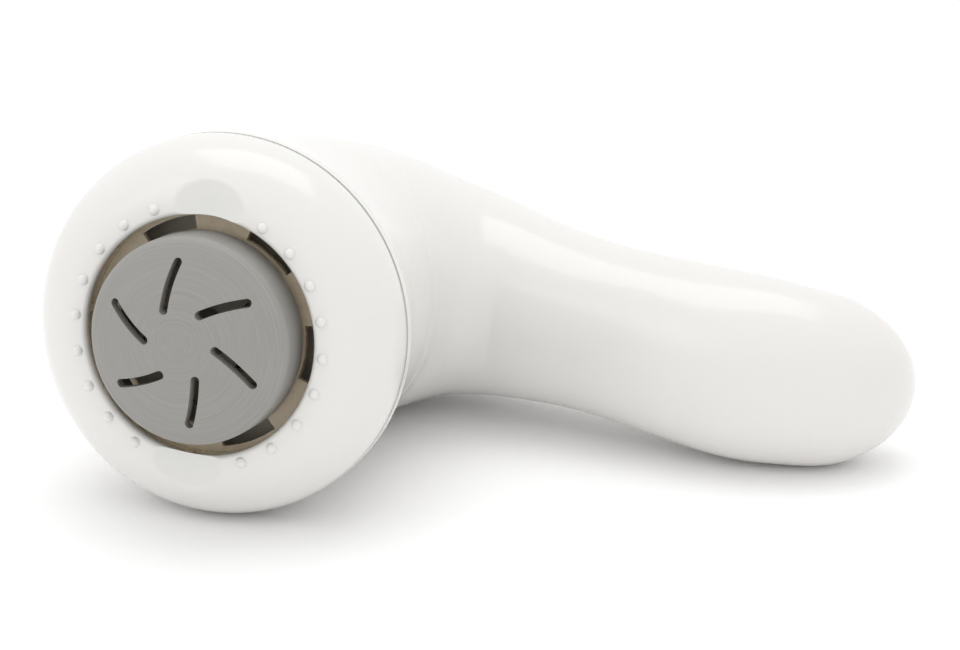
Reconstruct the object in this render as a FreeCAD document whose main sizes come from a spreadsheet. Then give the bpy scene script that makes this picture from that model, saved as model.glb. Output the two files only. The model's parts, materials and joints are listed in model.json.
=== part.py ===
import FreeCAD, Part
import math
import os

import Sketcher

# A rotary facial cleansing brush. It is modelled in the device's own axes:
# +X runs towards the handle, +Y backwards from the face of the head, +Z to the side.
# At the end every piece gets one common placement that lays the device on its side on z = 0.
# All sizes are millimetres and degrees.

V = FreeCAD.Vector
PLACE = FreeCAD.Placement
TURN = FreeCAD.Rotation
X_AXIS = V(1, 0, 0)
Y_AXIS = V(0, 1, 0)
Z_AXIS = V(0, 0, 1)

SIZES = {
    # front cover
    "head_rad": 36.9,
    "dome_depth": 14.2,
    "rim_height": 1.5,
    "dome_width": 13.7,
    "lip_round": 1.0,
    "cover_wall": 2.0,
    "cover_gap": 0.1,
    "nub_inset": 2.0,
    "nub_rad": 1.15,
    "nub_rise": 0.8,
    "nubs_per_row": 9,
    "nub_pitch": 16.06,
    "scoop_ball": 16.0,
    "scoop_reach": 6.9,
    "scoop_depth": 1.5,
    "cover_turn": 2.6,
    # cleansing disc
    "disc_gap": 3.2,
    "disc_proud": 3.5,
    "disc_skirt": 6.7,
    "disc_shoulder": 1.9,
    "disc_bevel": 1.0,
    "disc_crown": 4.0,
    "disc_wall": 1.6,
    "disc_hub_rad": 5.0,
    "slot_count": 6,
    "slot_start": 7.2,
    "slot_rim": 4.6,
    "slot_width": 1.7,
    "slot_sweep": 22.0,
    "slot_first": 4.0,
    # spindle, bushes and seal
    "spindle_rad": 3.0,
    "spindle_play": 0.03,
    "flat_half": 2.2,
    "drive_play": 0.05,
    "bush_rad": 5.5,
    "bush_len": 5.0,
    "seal_len": 3.0,
    "shoulder_len": 2.0,
    "step": 0.2,
    "clip_thick": 0.6,
    "clip_bite": 0.6,
    "clip_reach": 1.4,
    "plate_inset": 2.4,
    "plate_hub_wall": 2.0,
    "drain_rad": 3.0,
    "plate_thick": 1.0,
    # guard ring around the disc
    "guard_play": 0.2,
    "guard_wall": 1.0,
    "floor_thick": 1.2,
    "guard_depth": 5.8,
    "flange_width": 6.5,
    "guard_post_out": 3.6,
    "window_count": 12,
    "window_angle": 25.0,
    "window_height": 2.1,
    "arc_slot_count": 6,
    "arc_slot_angle": 30.0,
    "arc_slot_in": 3.7,
    "arc_slot_out": 1.0,
    # bulkhead
    "gasket_height": 0.6,
    "gasket_recess": 0.4,
    "gasket_width": 2.0,
    "spigot_height": 3.0,
    "spigot_wall": 1.6,
    "spigot_play": 0.7,
    "oring_rad": 0.6,
    "oring_sink": 0.3,
    "oring_ahead": 1.6,
    "bulkhead_thick": 2.4,
    "fit_gap": 0.3,
    "hub_wall": 2.0,
    "post_rad": 2.8,
    "post_inset": 4.6,
    "boss_rad": 3.2,
    "boss_inset": 3.0,
    "boss_len": 10.0,
    "guard_post_rad": 2.4,
    "screw_rad": 1.0,
    "head_of_screw_rad": 1.9,
    "head_of_screw": 1.3,
    # gears
    "tooth_size": 0.5,
    "output_teeth": 42,
    "small_teeth": 14,
    "large_teeth": 44,
    "pinion_teeth": 12,
    "gear_face": 4.0,
    "large_face": 3.0,
    "axle_rad": 1.5,
    # motor
    "mount_thick": 2.0,
    "motor_rad": 12.0,
    "motor_len": 25.0,
    "motor_shaft_rad": 1.0,
    "motor_hole_ring": 8.0,
    # casing
    "casing_wall": 2.0,
    "collar_depth": 3.0,
    "collar_round": 1.4,
    "neck_run": 44.9,
    "bend_rad": 21.5,
    "bend_angle": 101.0,
    "grip_run": 57.0,
    "tail_rad": 42.0,
    "tail_run": 19.0,
    "cap_len": 24.0,
    "tail_flatness": 0.84,
    "crook_run": 33.5,
    "crook_out": 39.0,
    "mouth_step": 1.3,
    "neck_share": 0.797,
    "bend_in_share": 0.706,
    "bend_share": 0.525,
    "bend_out_share": 0.243,
    "w_grip": 17.9,
    "w_swell_in": 18.6,
    "w_swell": 18.9,
    "w_tail": 18.2,
    "eyelet_back": 4.6,
    "eyelet_len": 9.5,
    "eyelet_gap": 1.8,
    "recess_rad": 3.3,
    "recess_len": 13.0,
    "recess_depth": 1.8,
    # back cover, measured along the grip from the end of the bend
    "parting_level": 6.4,
    "back_start": -1.5,
    "back_end": 66.5,
    "back_corner": 5.0,
    "back_seal": 0.6,
    "back_seal_sink": 0.4,
    "lip_wall": 1.2,
    "lip_depth": 1.6,
    "back_screw_inset": 4.5,
    "sleeve_rad": 4.0,
    "seat_over_parting": 1.6,
    "sleeve_floor": 1.6,
    "plug_rad": 2.9,
    # battery, chassis and board
    "cell_rad": 7.0,
    "cell_len": 50.0,
    "cell_start": 7.6,
    "cell_room": 0.4,
    "chassis_level": 3.4,
    "chassis_thick": 1.4,
    "chassis_side": 3.6,
    "standoff": 1.0,
    "board_thick": 1.2,
    "board_half": 7.2,
    # controls on the back cover
    "button_at": 16.0,
    "button_rad": 5.2,
    "button_play": 0.15,
    "button_proud": 0.8,
    "button_travel": 0.8,
    "light_at": 27.0,
    "light_rad": 1.3,
    "contact_at": 50.0,
    "contact_half": 4.0,
    "contact_rad": 1.3,
    "lead_rad": 0.6,
}

doc = FreeCAD.newDocument("facial_brush")
sheet = doc.addObject("Spreadsheet::Sheet", "sizes")
for row, (alias, number) in enumerate(SIZES.items(), 1):
    sheet.set(f"A{row}", alias)
    sheet.set(f"B{row}", str(number))
    sheet.setAlias(f"B{row}", alias)
doc.recompute()


class Dim:
    """A size that carries its formula, so that a property can be bound to the sheet."""

    def __init__(self, number, text=None):
        self.number = float(number)
        self.text = text if text is not None else f"({float(number)})"

    def _with(self, other, sign, number):
        return Dim(number, f"({self.text} {sign} {other.text})")

    def __add__(self, other):
        other = dim(other)
        return self._with(other, "+", self.number + other.number)

    def __radd__(self, other):
        return dim(other) + self

    def __sub__(self, other):
        other = dim(other)
        return self._with(other, "-", self.number - other.number)

    def __rsub__(self, other):
        return dim(other) - self

    def __mul__(self, other):
        other = dim(other)
        return self._with(other, "*", self.number * other.number)

    def __rmul__(self, other):
        return dim(other) * self

    def __truediv__(self, other):
        other = dim(other)
        return self._with(other, "/", self.number / other.number)

    def __neg__(self):
        return Dim(0) - self

    def __float__(self):
        return self.number


def dim(value):
    return value if isinstance(value, Dim) else Dim(value)


class Sizes:
    """Reads a named size from the sheet."""

    def __getattr__(self, alias):
        return Dim(sheet.get(alias), f"sizes.{alias}")


d = Sizes()
pieces = []


def keep(piece):
    """Marks a finished sub-part for export."""
    pieces.append(piece)
    return piece


def bind(target, prop, value):
    target.setExpression(prop, dim(value).text)


# ---------------------------------------------------------------- building blocks

def circle_centre(start, end, bend):
    """Centre of the arc of radius |bend| from start to end; bend > 0 turns to the left."""
    chord = end - start
    half = chord.Length / 2
    rise = math.sqrt(max(bend * bend - half * half, 0.0))
    left = V(-chord.y, chord.x, 0).normalize()
    return (start + end) / 2 + left * math.copysign(rise, bend)


def draw(sketch, outline):
    """Draws a closed outline of (across, up) or (across, up, bend of the arc that arrives)."""
    points = [V(float(dim(p[0])), float(dim(p[1])), 0) for p in outline]
    start_ends = []
    for index, point in enumerate(points):
        target = (index + 1) % len(points)
        if len(outline[target]) == 2:
            sketch.addGeometry(Part.LineSegment(point, points[target]), False)
            start_ends.append((1, 2))
            continue
        bend = float(dim(outline[target][2]))
        centre = circle_centre(point, points[target], bend)
        first, last = (point, points[target]) if bend > 0 else (points[target], point)
        angles = [math.atan2(p.y - centre.y, p.x - centre.x) for p in (first, last)]
        circle = Part.Circle(centre, Z_AXIS, abs(bend))
        sketch.addGeometry(Part.ArcOfCircle(circle, *angles), False)
        start_ends.append((1, 2) if bend > 0 else (2, 1))
        radius = sketch.addConstraint(Sketcher.Constraint("Radius", index, abs(bend)))
        size = dim(outline[target][2])
        bind(sketch, f"Constraints[{radius}]", size if bend > 0 else -size)
    for index, point in enumerate(points):
        before = index - 1 if index else len(points) - 1
        at = start_ends[index][0]
        sketch.addConstraint(Sketcher.Constraint("Coincident", before, start_ends[before][1], index, at))
        for kind, axis, number, size in (("DistanceX", -2, point.x, outline[index][0]),
                                         ("DistanceY", -1, point.y, outline[index][1])):
            if abs(number) < 1e-9:
                sketch.addConstraint(Sketcher.Constraint("PointOnObject", index, at, axis))
            else:
                place = sketch.addConstraint(Sketcher.Constraint(kind, -1, 1, index, at, number))
                bind(sketch, f"Constraints[{place}]", size)


def turned(name, outline):
    """A solid of revolution about the Y axis, from an outline of (radius, y)."""
    body = doc.addObject("PartDesign::Body", name)
    sketch = body.newObject("Sketcher::SketchObject", name + "_profile")
    plane = [item for item in body.Origin.OriginFeatures if item.Role == "XY_Plane"][0]
    sketch.AttachmentSupport = [(plane, "")]
    sketch.MapMode = "FlatFace"
    draw(sketch, outline)
    spin = body.newObject("PartDesign::Revolution", name + "_turn")
    spin.Profile = sketch
    spin.ReferenceAxis = (sketch, ["V_Axis"])
    spin.Angle = 360
    return body


def tube(name, outer, inner, low, high):
    """A ring or disc about the Y axis."""
    return turned(name, [(inner, low), (outer, low), (outer, high), (inner, high)])


def rod(name, radius, length, base, axis=Y_AXIS, frame=PLACE()):
    cylinder = doc.addObject("Part::Cylinder", name)
    bind(cylinder, "Radius", radius)
    bind(cylinder, "Height", length)
    cylinder.Placement = frame.multiply(PLACE(base, TURN(Z_AXIS, axis)))
    return cylinder


def block(name, low, high, frame=PLACE()):
    """A box between two corners given in a frame."""
    box = doc.addObject("Part::Box", name)
    for prop, start, end in zip(("Length", "Width", "Height"), low, high):
        bind(box, prop, dim(end) - start)
    box.Placement = frame.multiply(PLACE(V(*[float(dim(c)) for c in low]), TURN()))
    return box


def ball(name, radius, centre, frame=PLACE()):
    sphere = doc.addObject("Part::Sphere", name)
    bind(sphere, "Radius", radius)
    sphere.Placement = frame.multiply(PLACE(centre, TURN()))
    return sphere


def fuse(name, shapes):
    union = doc.addObject("Part::MultiFuse", name)
    union.Shapes = shapes
    return union


def group(name, shapes):
    """Several separate solids under one name."""
    bundle = doc.addObject("Part::Compound", name)
    bundle.Links = shapes
    return bundle


def cut(name, base, tools):
    result = doc.addObject("Part::Cut", name)
    result.Base = base
    result.Tool = tools[0] if len(tools) == 1 else fuse(name + "_tools", tools)
    return result


def common(name, first, second):
    overlap = doc.addObject("Part::Common", name)
    overlap.Base = first
    overlap.Tool = second
    return overlap


def ready_made(name, shape):
    """A shape that is worked out in code from the sheet's sizes."""
    feature = doc.addObject("Part::Feature", name)
    feature.Shape = shape
    return feature


def polar(radius, angle, y=0.0):
    """A point on a ring about the Y axis; the angle starts at +X and rises towards +Z."""
    turn = math.radians(float(dim(angle)))
    return V(float(dim(radius)) * math.cos(turn), float(dim(y)), float(dim(radius)) * math.sin(turn))


def screw(name, at, direction, length, frame=PLACE(), head=None):
    """A pan-head screw: at is under the head, direction points along the shank."""
    head = head if head is not None else d.head_of_screw_rad
    away = V(direction) * -1
    shank = rod(name + "_shank", d.screw_rad, length, at, direction, frame)
    pan = rod(name + "_pan", head, d.head_of_screw, at, away, frame)
    recess_at = at + away * (float(d.head_of_screw) * 0.4)
    recess = rod(name + "_drive", d.screw_rad * 0.8, d.head_of_screw, recess_at, away, frame)
    return cut(name, fuse(name + "_blank", [shank, pan]), [recess])


# ---------------------------------------------------------------- levels and radii that follow from the sizes

crest = -d.dome_depth
mouth = d.gasket_height
opening_rad = d.head_rad - d.dome_width
disc_rad = opening_rad - d.disc_gap
slot_end = disc_rad - d.slot_rim
plate_rad = disc_rad - d.plate_inset
disc_rim = crest - d.disc_proud
disc_back = disc_rim + d.disc_skirt
guard_in = opening_rad + d.guard_play
guard_front = crest + d.cover_wall + d.step
floor_front = crest + d.guard_depth - d.step
floor_back = floor_front + d.floor_thick
plate_back = mouth + 1.2
plate_front = plate_back - d.bulkhead_thick
drive_plate_back = floor_front - 0.8
drive_plate_front = drive_plate_back - d.plate_thick
front_bush_back = mouth + 1.0
front_bush_front = front_bush_back - d.bush_len
seal_back = front_bush_front - d.step
seal_front = seal_back - d.seal_len
hub_front = seal_front - d.step
rear_bush_front = front_bush_back + d.shoulder_len
hub_back = rear_bush_front + d.bush_len
output_front = hub_back + 0.6
output_back = output_front + d.gear_face
spindle_back = output_back + 1.0
large_front = spindle_back + 0.4
large_back = large_front + d.large_face
mount_front = large_back + 1.9
mount_back = mount_front + d.mount_thick
motor_back = mount_back + d.motor_len
gear_distance = d.tooth_size * (d.output_teeth + d.small_teeth) / 2
spigot_rad = d.head_rad - d.cover_wall - d.spigot_play
mouth_half = d.head_rad - d.mouth_step
mouth_rad = mouth_half - d.casing_wall
bulkhead_plug_rad = mouth_rad - 0.8
boss_ring = mouth_rad - d.boss_inset
post_ring = boss_ring - d.post_inset
guard_post_ring = guard_in + d.guard_wall + d.guard_post_out
cell_level = d.chassis_level - d.cell_room - d.cell_rad
chassis_half = d.cell_rad + d.chassis_side
chassis_top = d.chassis_level + d.chassis_thick
board_level = chassis_top + d.standoff
POST_ANGLES = (0, 180, 270)
BOSS_ANGLES = (45, 135, 225, 315)
GUARD_ANGLES = (90, 210, 330)
CHASSIS_RUNS = (15.0, 50.0)
BOARD_HOLES = [(run, side) for run in (12, 54) for side in (-5, 5)]


# ---------------------------------------------------------------- front cover

def dome_height(radius, inset=0.0):
    """Distance of the dome's surface ahead of the seam at a radius."""
    centre = float(opening_rad + d.lip_round)
    across = float(d.head_rad) - inset - centre
    rise = float(d.dome_depth - d.rim_height) - inset
    share = min(max(radius - centre, 0.0) / across, 1.0)
    return float(d.rim_height) + rise * math.sqrt(1 - share * share)


def dome_arc(inset):
    """A quarter ellipse from the rim to the crest."""
    centre = V(float(opening_rad + d.lip_round), -float(d.rim_height), 0)
    across = float(d.head_rad) - inset - centre.x
    rise = float(d.dome_depth - d.rim_height) - inset
    rim = centre + V(across, 0, 0)
    top = centre - V(0, rise, 0)
    if across > rise:
        ellipse = Part.Ellipse(rim, top, centre)
    elif rise > across:
        ellipse = Part.Ellipse(top, rim, centre)
    else:
        ellipse = Part.Circle(centre, Z_AXIS, rise)
    start, end = sorted((ellipse.parameter(rim), ellipse.parameter(top)))
    if end - start > math.pi:
        start, end = end, start + 2 * math.pi
    return Part.Edge(ellipse, start, end), rim, top


def front_cover():
    outer, outer_rim, outer_top = dome_arc(0.0)
    inner, inner_rim, inner_top = dome_arc(float(d.cover_wall))
    rim_y = -float(d.cover_gap)
    lip = float(d.lip_round)
    hole = float(opening_rad)
    lip_out = V(hole, outer_top.y + lip, 0)
    lip_mid = V(outer_top.x - lip * math.sin(math.pi / 4), lip_out.y - lip * math.sin(math.pi / 4), 0)
    lip_in = V(hole, inner_top.y, 0)
    outline = [outer, Part.Arc(outer_top, lip_mid, lip_out).toShape()]
    corners = [lip_out, lip_in, inner_top]
    corners_back = [inner_rim, V(inner_rim.x, rim_y, 0), V(outer_rim.x, rim_y, 0), outer_rim]
    for chain in (corners, corners_back):
        outline += [Part.LineSegment(a, b).toShape() for a, b in zip(chain, chain[1:])]
    outline.append(inner)
    wire = Part.Wire(Part.__sortEdges__(outline))
    dome = ready_made("cover_dome", Part.Face(wire).revolve(V(0, 0, 0), Y_AXIS, 360))
    nubs = []
    ring = float(opening_rad + d.nub_inset)
    level = -dome_height(ring) + float(d.nub_rad - d.nub_rise)
    half_row = (int(float(d.nubs_per_row)) - 1) / 2
    for side in (0, 180):
        for index in range(int(float(d.nubs_per_row))):
            angle = side + float(d.cover_turn) + (index - half_row) * float(d.nub_pitch)
            nubs.append(ball(f"nub_{side}_{index}", d.nub_rad, polar(ring, angle, level)))
    scoops = []
    far = float(opening_rad + d.scoop_reach)
    low = V(float(opening_rad), -float(d.dome_depth) + float(d.scoop_depth), 0)
    high = V(far, -dome_height(far), 0)
    centre = circle_centre(low, high, -float(d.scoop_ball))
    for side in (90, 270):
        at = polar(centre.x, side + float(d.cover_turn), centre.y)
        scoops.append(ball(f"scoop_{side}", d.scoop_ball, at))
    shaped = cut("cover_scooped", dome, scoops)
    keep(fuse("front_cover", [shaped] + nubs))


def head_rings():
    """The seam ring, the O-ring under the cover and the seal behind the guard's windows."""
    outer = d.head_rad - d.gasket_recess
    keep(tube("cover_gasket", outer, outer - d.gasket_width, 0, mouth))
    ring = doc.addObject("Part::Torus", "cover_oring")
    bind(ring, "Radius1", spigot_rad - d.oring_sink)
    bind(ring, "Radius2", d.oring_rad)
    ring.Placement = PLACE(V(0, -float(d.oring_ahead), 0), TURN(Z_AXIS, Y_AXIS))
    keep(ring)
    sleeve = guard_in + d.guard_wall + d.fit_gap
    keep(tube("splash_seal", sleeve + 1.0, sleeve, guard_front + 0.4, floor_front))


# ---------------------------------------------------------------- cleansing disc and guard

def swept_slot(angle):
    """A curved slot tool with round ends; its middle line is an arc that leans as it runs outwards."""
    start = polar(d.slot_start, angle)
    end = polar(slot_end, angle - float(d.slot_sweep))
    middle = polar((d.slot_start + slot_end) / 2, angle - float(d.slot_sweep) * 0.62)
    circle = Part.Arc(start, middle, end).toShape().Curve
    half = float(d.slot_width) / 2
    arms = [(point - circle.Center).normalize() for point in (start, middle, end)]
    edges = []
    for radius in (circle.Radius - half, circle.Radius + half):
        edges.append(Part.Arc(*[circle.Center + arm * radius for arm in arms]).toShape())
    for point, arm in ((start, arms[0]), (end, arms[2])):
        onward = circle.Axis.cross(arm)
        if onward.dot(point - middle) < 0:
            onward = onward * -1
        edges.append(Part.Arc(point - arm * half, point + onward * half, point + arm * half).toShape())
    wire = Part.Wire(Part.__sortEdges__(edges))
    return Part.Face(wire).extrude(V(0, -3 * float(d.dome_depth), 0))


def cleansing_disc():
    flat = disc_rad - d.disc_bevel
    face = disc_rim - d.disc_shoulder
    bulge = (flat * flat + d.disc_crown * d.disc_crown) / (d.disc_crown * 2)
    inside = disc_rad - d.disc_wall
    inner_bulge = bulge - d.disc_wall
    inner_flat = inside - d.disc_bevel
    inner_face = face + d.disc_wall
    # the inner vault is concentric with the face, so its crown follows from its span
    sag = inner_bulge.number - math.sqrt(inner_bulge.number ** 2 - inner_flat.number ** 2)
    outline = [(inside, disc_back), (disc_rad, disc_back), (disc_rad, disc_rim),
               (flat, face, -(d.disc_shoulder * 1.25)), (0, face - d.disc_crown, -bulge),
               (0, inner_face - sag), (inner_flat, inner_face, inner_bulge), (inside, disc_rim + d.disc_wall)]
    shell = turned("disc_shell", outline)
    hub_start = inner_face - sag - 0.4
    hub = tube("disc_hub", d.disc_hub_rad, 0, hub_start, drive_plate_front - d.fit_gap)
    tip = hub_start + 1.8
    bore = rod("disc_bore", d.spindle_rad + d.drive_play, 20, V(0, float(tip), 0))
    keys = []
    for side in (-1, 1):
        flat_at = (d.flat_half + d.drive_play) * side
        ends = (flat_at, flat_at + d.spindle_rad * 2 * side)
        low, high = sorted(ends, key=float)
        keys.append(block(f"disc_key_{side}", (-6, tip - 1, low), (6, drive_plate_front, high)))
    drive_bore = cut("disc_drive_bore", bore, keys)
    slots = [ready_made(f"disc_slot_{index}", swept_slot(float(d.slot_first) + index * 360 / float(d.slot_count)))
             for index in range(int(float(d.slot_count)))]
    blank = fuse("disc_blank", [shell, hub])
    keep(cut("cleansing_disc", blank, slots + [drive_bore]))
    return float(tip)


def spindle_group(tip):
    """The spindle with its drive flats, the drive plate, washer and retaining clip."""
    groove = output_back + 0.1
    clip = d.clip_thick
    neck = d.spindle_rad - d.clip_bite
    shaft = turned("spindle_shaft", [(0, tip + 0.2), (d.spindle_rad, tip + 0.2), (d.spindle_rad, groove),
                                     (neck, groove), (neck, groove + clip),
                                     (d.spindle_rad, groove + clip), (d.spindle_rad, spindle_back),
                                     (0, spindle_back)])
    flats = []
    for side in (-1, 1):
        low, high = sorted((d.flat_half * side, d.spindle_rad * 2 * side), key=float)
        flats.append(block(f"spindle_flat_{side}", (-6, tip - 1, low), (6, drive_plate_front - 0.2, high)))
    keep(cut("spindle", shaft, flats))
    wheel_hub = d.spindle_rad + d.plate_hub_wall
    wheel = turned("drive_wheel", [(d.spindle_rad, drive_plate_front), (plate_rad, drive_plate_front),
                                   (plate_rad, drive_plate_back), (wheel_hub, drive_plate_back),
                                   (wheel_hub, hub_front - d.step), (d.spindle_rad, hub_front - d.step)])
    hole_ring = (plate_rad + wheel_hub) / 2
    holes = [rod(f"drain_{angle}", d.drain_rad, 4, polar(hole_ring, angle, drive_plate_front - 1))
             for angle in range(30, 390, 60)]
    keep(cut("drive_plate", wheel, holes))
    ring = tube("clip_ring", d.spindle_rad + d.clip_reach, neck, groove, groove + clip)
    gap = block("clip_gap", (0, groove - 1, -1.2), (6, groove + 2, 1.2))
    keep(cut("circlip", ring, [gap]))
    keep(tube("thrust_washer", d.spindle_rad + 2.2, d.spindle_rad, output_front - 0.5, output_front))


def bushes_and_seal():
    bore = d.spindle_rad + d.spindle_play
    keep(tube("front_bush", d.bush_rad, bore, front_bush_front, front_bush_back))
    keep(tube("rear_bush", d.bush_rad, bore, rear_bush_front, hub_back))
    lip = d.spindle_rad + d.spindle_play
    keep(turned("spindle_seal", [(lip, seal_front), (d.bush_rad, seal_front), (d.bush_rad, seal_back),
                                 (lip + 1.2, seal_back), (lip + 1.2, seal_front + 1.4), (lip, seal_front + 0.8)]))


def guard_ring():
    wall_out = guard_in + d.guard_wall
    flange = wall_out + d.flange_width
    centre_hole = d.bush_rad + d.hub_wall + 1.0
    basket = turned("guard_basket", [(centre_hole, floor_front), (guard_in, floor_front),
                                     (guard_in, guard_front), (wall_out, guard_front),
                                     (wall_out, floor_front), (flange, floor_front),
                                     (flange, floor_back), (centre_hole, floor_back)])
    posts = [rod(f"guard_post_{a}", d.guard_post_rad, plate_front - floor_back,
                 polar(guard_post_ring, a, floor_back)) for a in GUARD_ANGLES]
    pitch = 360 / float(d.window_count)
    half_window = (guard_in + 1) * math.tan(math.radians(float(d.window_angle) / 2))
    window_top = guard_front + 0.4
    tools = []
    for index in range(int(float(d.window_count))):
        frame = PLACE(V(0, 0, 0), TURN(Y_AXIS, (index + 0.5) * pitch))
        corner_low = (guard_in - 1.5, window_top, -half_window)
        corner_high = (wall_out + 1, window_top + d.window_height, half_window)
        tools.append(block(f"window_{index}", corner_low, corner_high, frame))
    tools += arc_slots()
    tools += [rod(f"guard_pilot_{a}", d.screw_rad, plate_front - floor_front + 2,
                  polar(guard_post_ring, a, floor_front - 1)) for a in GUARD_ANGLES]
    keep(cut("guard_ring", fuse("guard_blank", [basket] + posts), tools))
    screws = [screw(f"guard_screw_{a}", polar(guard_post_ring, a, floor_front), Y_AXIS,
                    plate_front - floor_front + 1.4) for a in GUARD_ANGLES]
    keep(group("guard_screws", screws))


def arc_slots():
    """Ring-shaped slots in the guard's floor."""
    tools = []
    low = float(guard_in - d.arc_slot_in)
    high = float(guard_in - d.arc_slot_out)
    for index in range(int(float(d.arc_slot_count))):
        start = index * 360 / float(d.arc_slot_count) + 15
        sector = Part.makeCylinder(high, 4, V(0, float(floor_front) - 1, 0), Y_AXIS, float(d.arc_slot_angle))
        core = Part.makeCylinder(low, 6, V(0, float(floor_front) - 2, 0), Y_AXIS, 360)
        tool = sector.cut(core)
        tool.rotate(V(0, 0, 0), Y_AXIS, start)
        tools.append(ready_made(f"arc_slot_{index}", tool))
    return tools


# ---------------------------------------------------------------- bulkhead

def head_bulkhead():
    hub = d.bush_rad + d.hub_wall
    shoulder = d.bush_rad - 1.1
    inner = spigot_rad - d.spigot_wall
    body = turned("bulkhead_body", [
        (d.bush_rad, hub_front), (hub, hub_front), (hub, plate_front), (inner, plate_front),
        (inner, -d.spigot_height), (spigot_rad, -d.spigot_height), (spigot_rad, mouth),
        (bulkhead_plug_rad, mouth), (bulkhead_plug_rad, plate_back), (hub, plate_back),
        (hub, hub_back), (d.bush_rad, hub_back), (d.bush_rad, rear_bush_front),
        (shoulder, rear_bush_front), (shoulder, front_bush_back), (d.bush_rad, front_bush_back)])
    posts = [rod(f"bulkhead_post_{a}", d.post_rad, mount_front - plate_back + 0.5,
                 polar(post_ring, a, plate_back - 0.5)) for a in POST_ANGLES]
    axle_boss = rod("axle_boss", d.axle_rad + 1.9, output_front - plate_back - 0.2,
                    polar(gear_distance, 90, plate_back - 0.5))
    groove = doc.addObject("Part::Torus", "oring_groove")
    bind(groove, "Radius1", spigot_rad - d.oring_sink)
    bind(groove, "Radius2", d.oring_rad)
    groove.Placement = PLACE(V(0, -float(d.oring_ahead), 0), TURN(Z_AXIS, Y_AXIS))
    tools = [groove]
    tools += [rod(f"post_pilot_{a}", d.screw_rad, 6, polar(post_ring, a, mount_front - 6)) for a in POST_ANGLES]
    tools += [rod(f"bulkhead_hole_{a}", d.screw_rad, 8, polar(boss_ring, a, plate_front - 2)) for a in BOSS_ANGLES]
    tools += [rod(f"guard_seat_{a}", d.screw_rad, 1.4, polar(guard_post_ring, a, plate_front))
              for a in GUARD_ANGLES]
    tools.append(rod("axle_seat", d.axle_rad, 20, polar(gear_distance, 90, plate_back + 2)))
    keep(cut("head_bulkhead", fuse("bulkhead_blank", [body, axle_boss] + posts), tools))
    screws = [screw(f"bulkhead_screw_{a}", polar(boss_ring, a, plate_front), Y_AXIS, 9) for a in BOSS_ANGLES]
    keep(group("bulkhead_screws", screws))


# ---------------------------------------------------------------- gears

def involute_gear(teeth, low, high, bore, turn):
    """A spur gear about the Y axis, with one tooth at an angle of turn from +X."""
    module = float(d.tooth_size)
    pitch = module * teeth / 2
    base = pitch * math.cos(math.radians(20))
    tip = pitch + 0.85 * module
    root = pitch - 1.2 * module
    thinning = 0.09 * module / pitch
    half = math.pi / (2 * teeth) - thinning
    involute = math.tan(math.radians(20)) - math.radians(20)

    def flank_angle(radius):
        roll = math.acos(min(base / max(radius, base), 1.0))
        return half + involute - (math.tan(roll) - roll)

    def at(radius, angle):
        return V(radius * math.cos(angle), low, radius * math.sin(angle))

    start = max(base, root)
    radii = [start + (tip - start) * share for share in (0, 0.35, 0.7, 1)]
    edges = []
    for index in range(teeth):
        middle = math.radians(turn) + index * 2 * math.pi / teeth
        following = middle + 2 * math.pi / teeth
        rising = [at(r, middle - flank_angle(r)) for r in radii]
        falling = [at(r, middle + flank_angle(r)) for r in reversed(radii)]
        foot = flank_angle(start)
        feet = [at(root, middle - foot), at(root, middle + foot), at(root, following - foot)]
        gap = at(root, (middle + following) / 2)
        for points in (rising, falling):
            flank = Part.BSplineCurve()
            flank.interpolate(points)
            edges.append(flank.toShape())
        edges.append(Part.Arc(rising[-1], at(tip, middle), falling[0]).toShape())
        if start > root:
            edges.append(Part.LineSegment(feet[0], rising[0]).toShape())
            edges.append(Part.LineSegment(falling[-1], feet[1]).toShape())
        edges.append(Part.Arc(feet[1], gap, feet[2]).toShape())
    wire = Part.Wire(Part.__sortEdges__(edges))
    solid = Part.Face(wire).extrude(V(0, high - low, 0))
    return solid.cut(Part.makeCylinder(bore, high - low + 2, V(0, low - 1, 0), Y_AXIS))


def gears():
    """Output gear, compound reduction gear and motor pinion, in mesh at rest."""
    centre = polar(gear_distance, 90)
    output = involute_gear(int(d.output_teeth.number), float(output_front), float(output_back),
                           float(d.spindle_rad), 90)
    keep(ready_made("output_gear", output))
    small_teeth = int(d.small_teeth.number)
    large_teeth = int(d.large_teeth.number)
    bore = float(d.axle_rad) + 0.04
    small = involute_gear(small_teeth, float(output_front) - 0.3, float(large_front), bore, 270 + 180 / small_teeth)
    large = involute_gear(large_teeth, float(large_front), float(large_back), bore, 270 + 180 / large_teeth)
    collar = Part.makeCylinder(3.0, 1.2, V(0, float(large_back), 0), Y_AXIS)
    collar = collar.cut(Part.makeCylinder(bore, 4, V(0, float(large_back) - 1, 0), Y_AXIS))
    compound = small.fuse([large, collar]).removeSplitter()
    compound.translate(centre)
    keep(ready_made("reduction_gear", compound))
    pinion = involute_gear(int(d.pinion_teeth.number), float(large_front) + 0.2, float(large_back) + 0.3,
                           float(d.motor_shaft_rad), 90)
    keep(ready_made("motor_pinion", pinion))
    keep(rod("gear_axle", d.axle_rad, mount_back - plate_back - 2.5, polar(gear_distance, 90, plate_back + 2)))


# ---------------------------------------------------------------- motor

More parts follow.
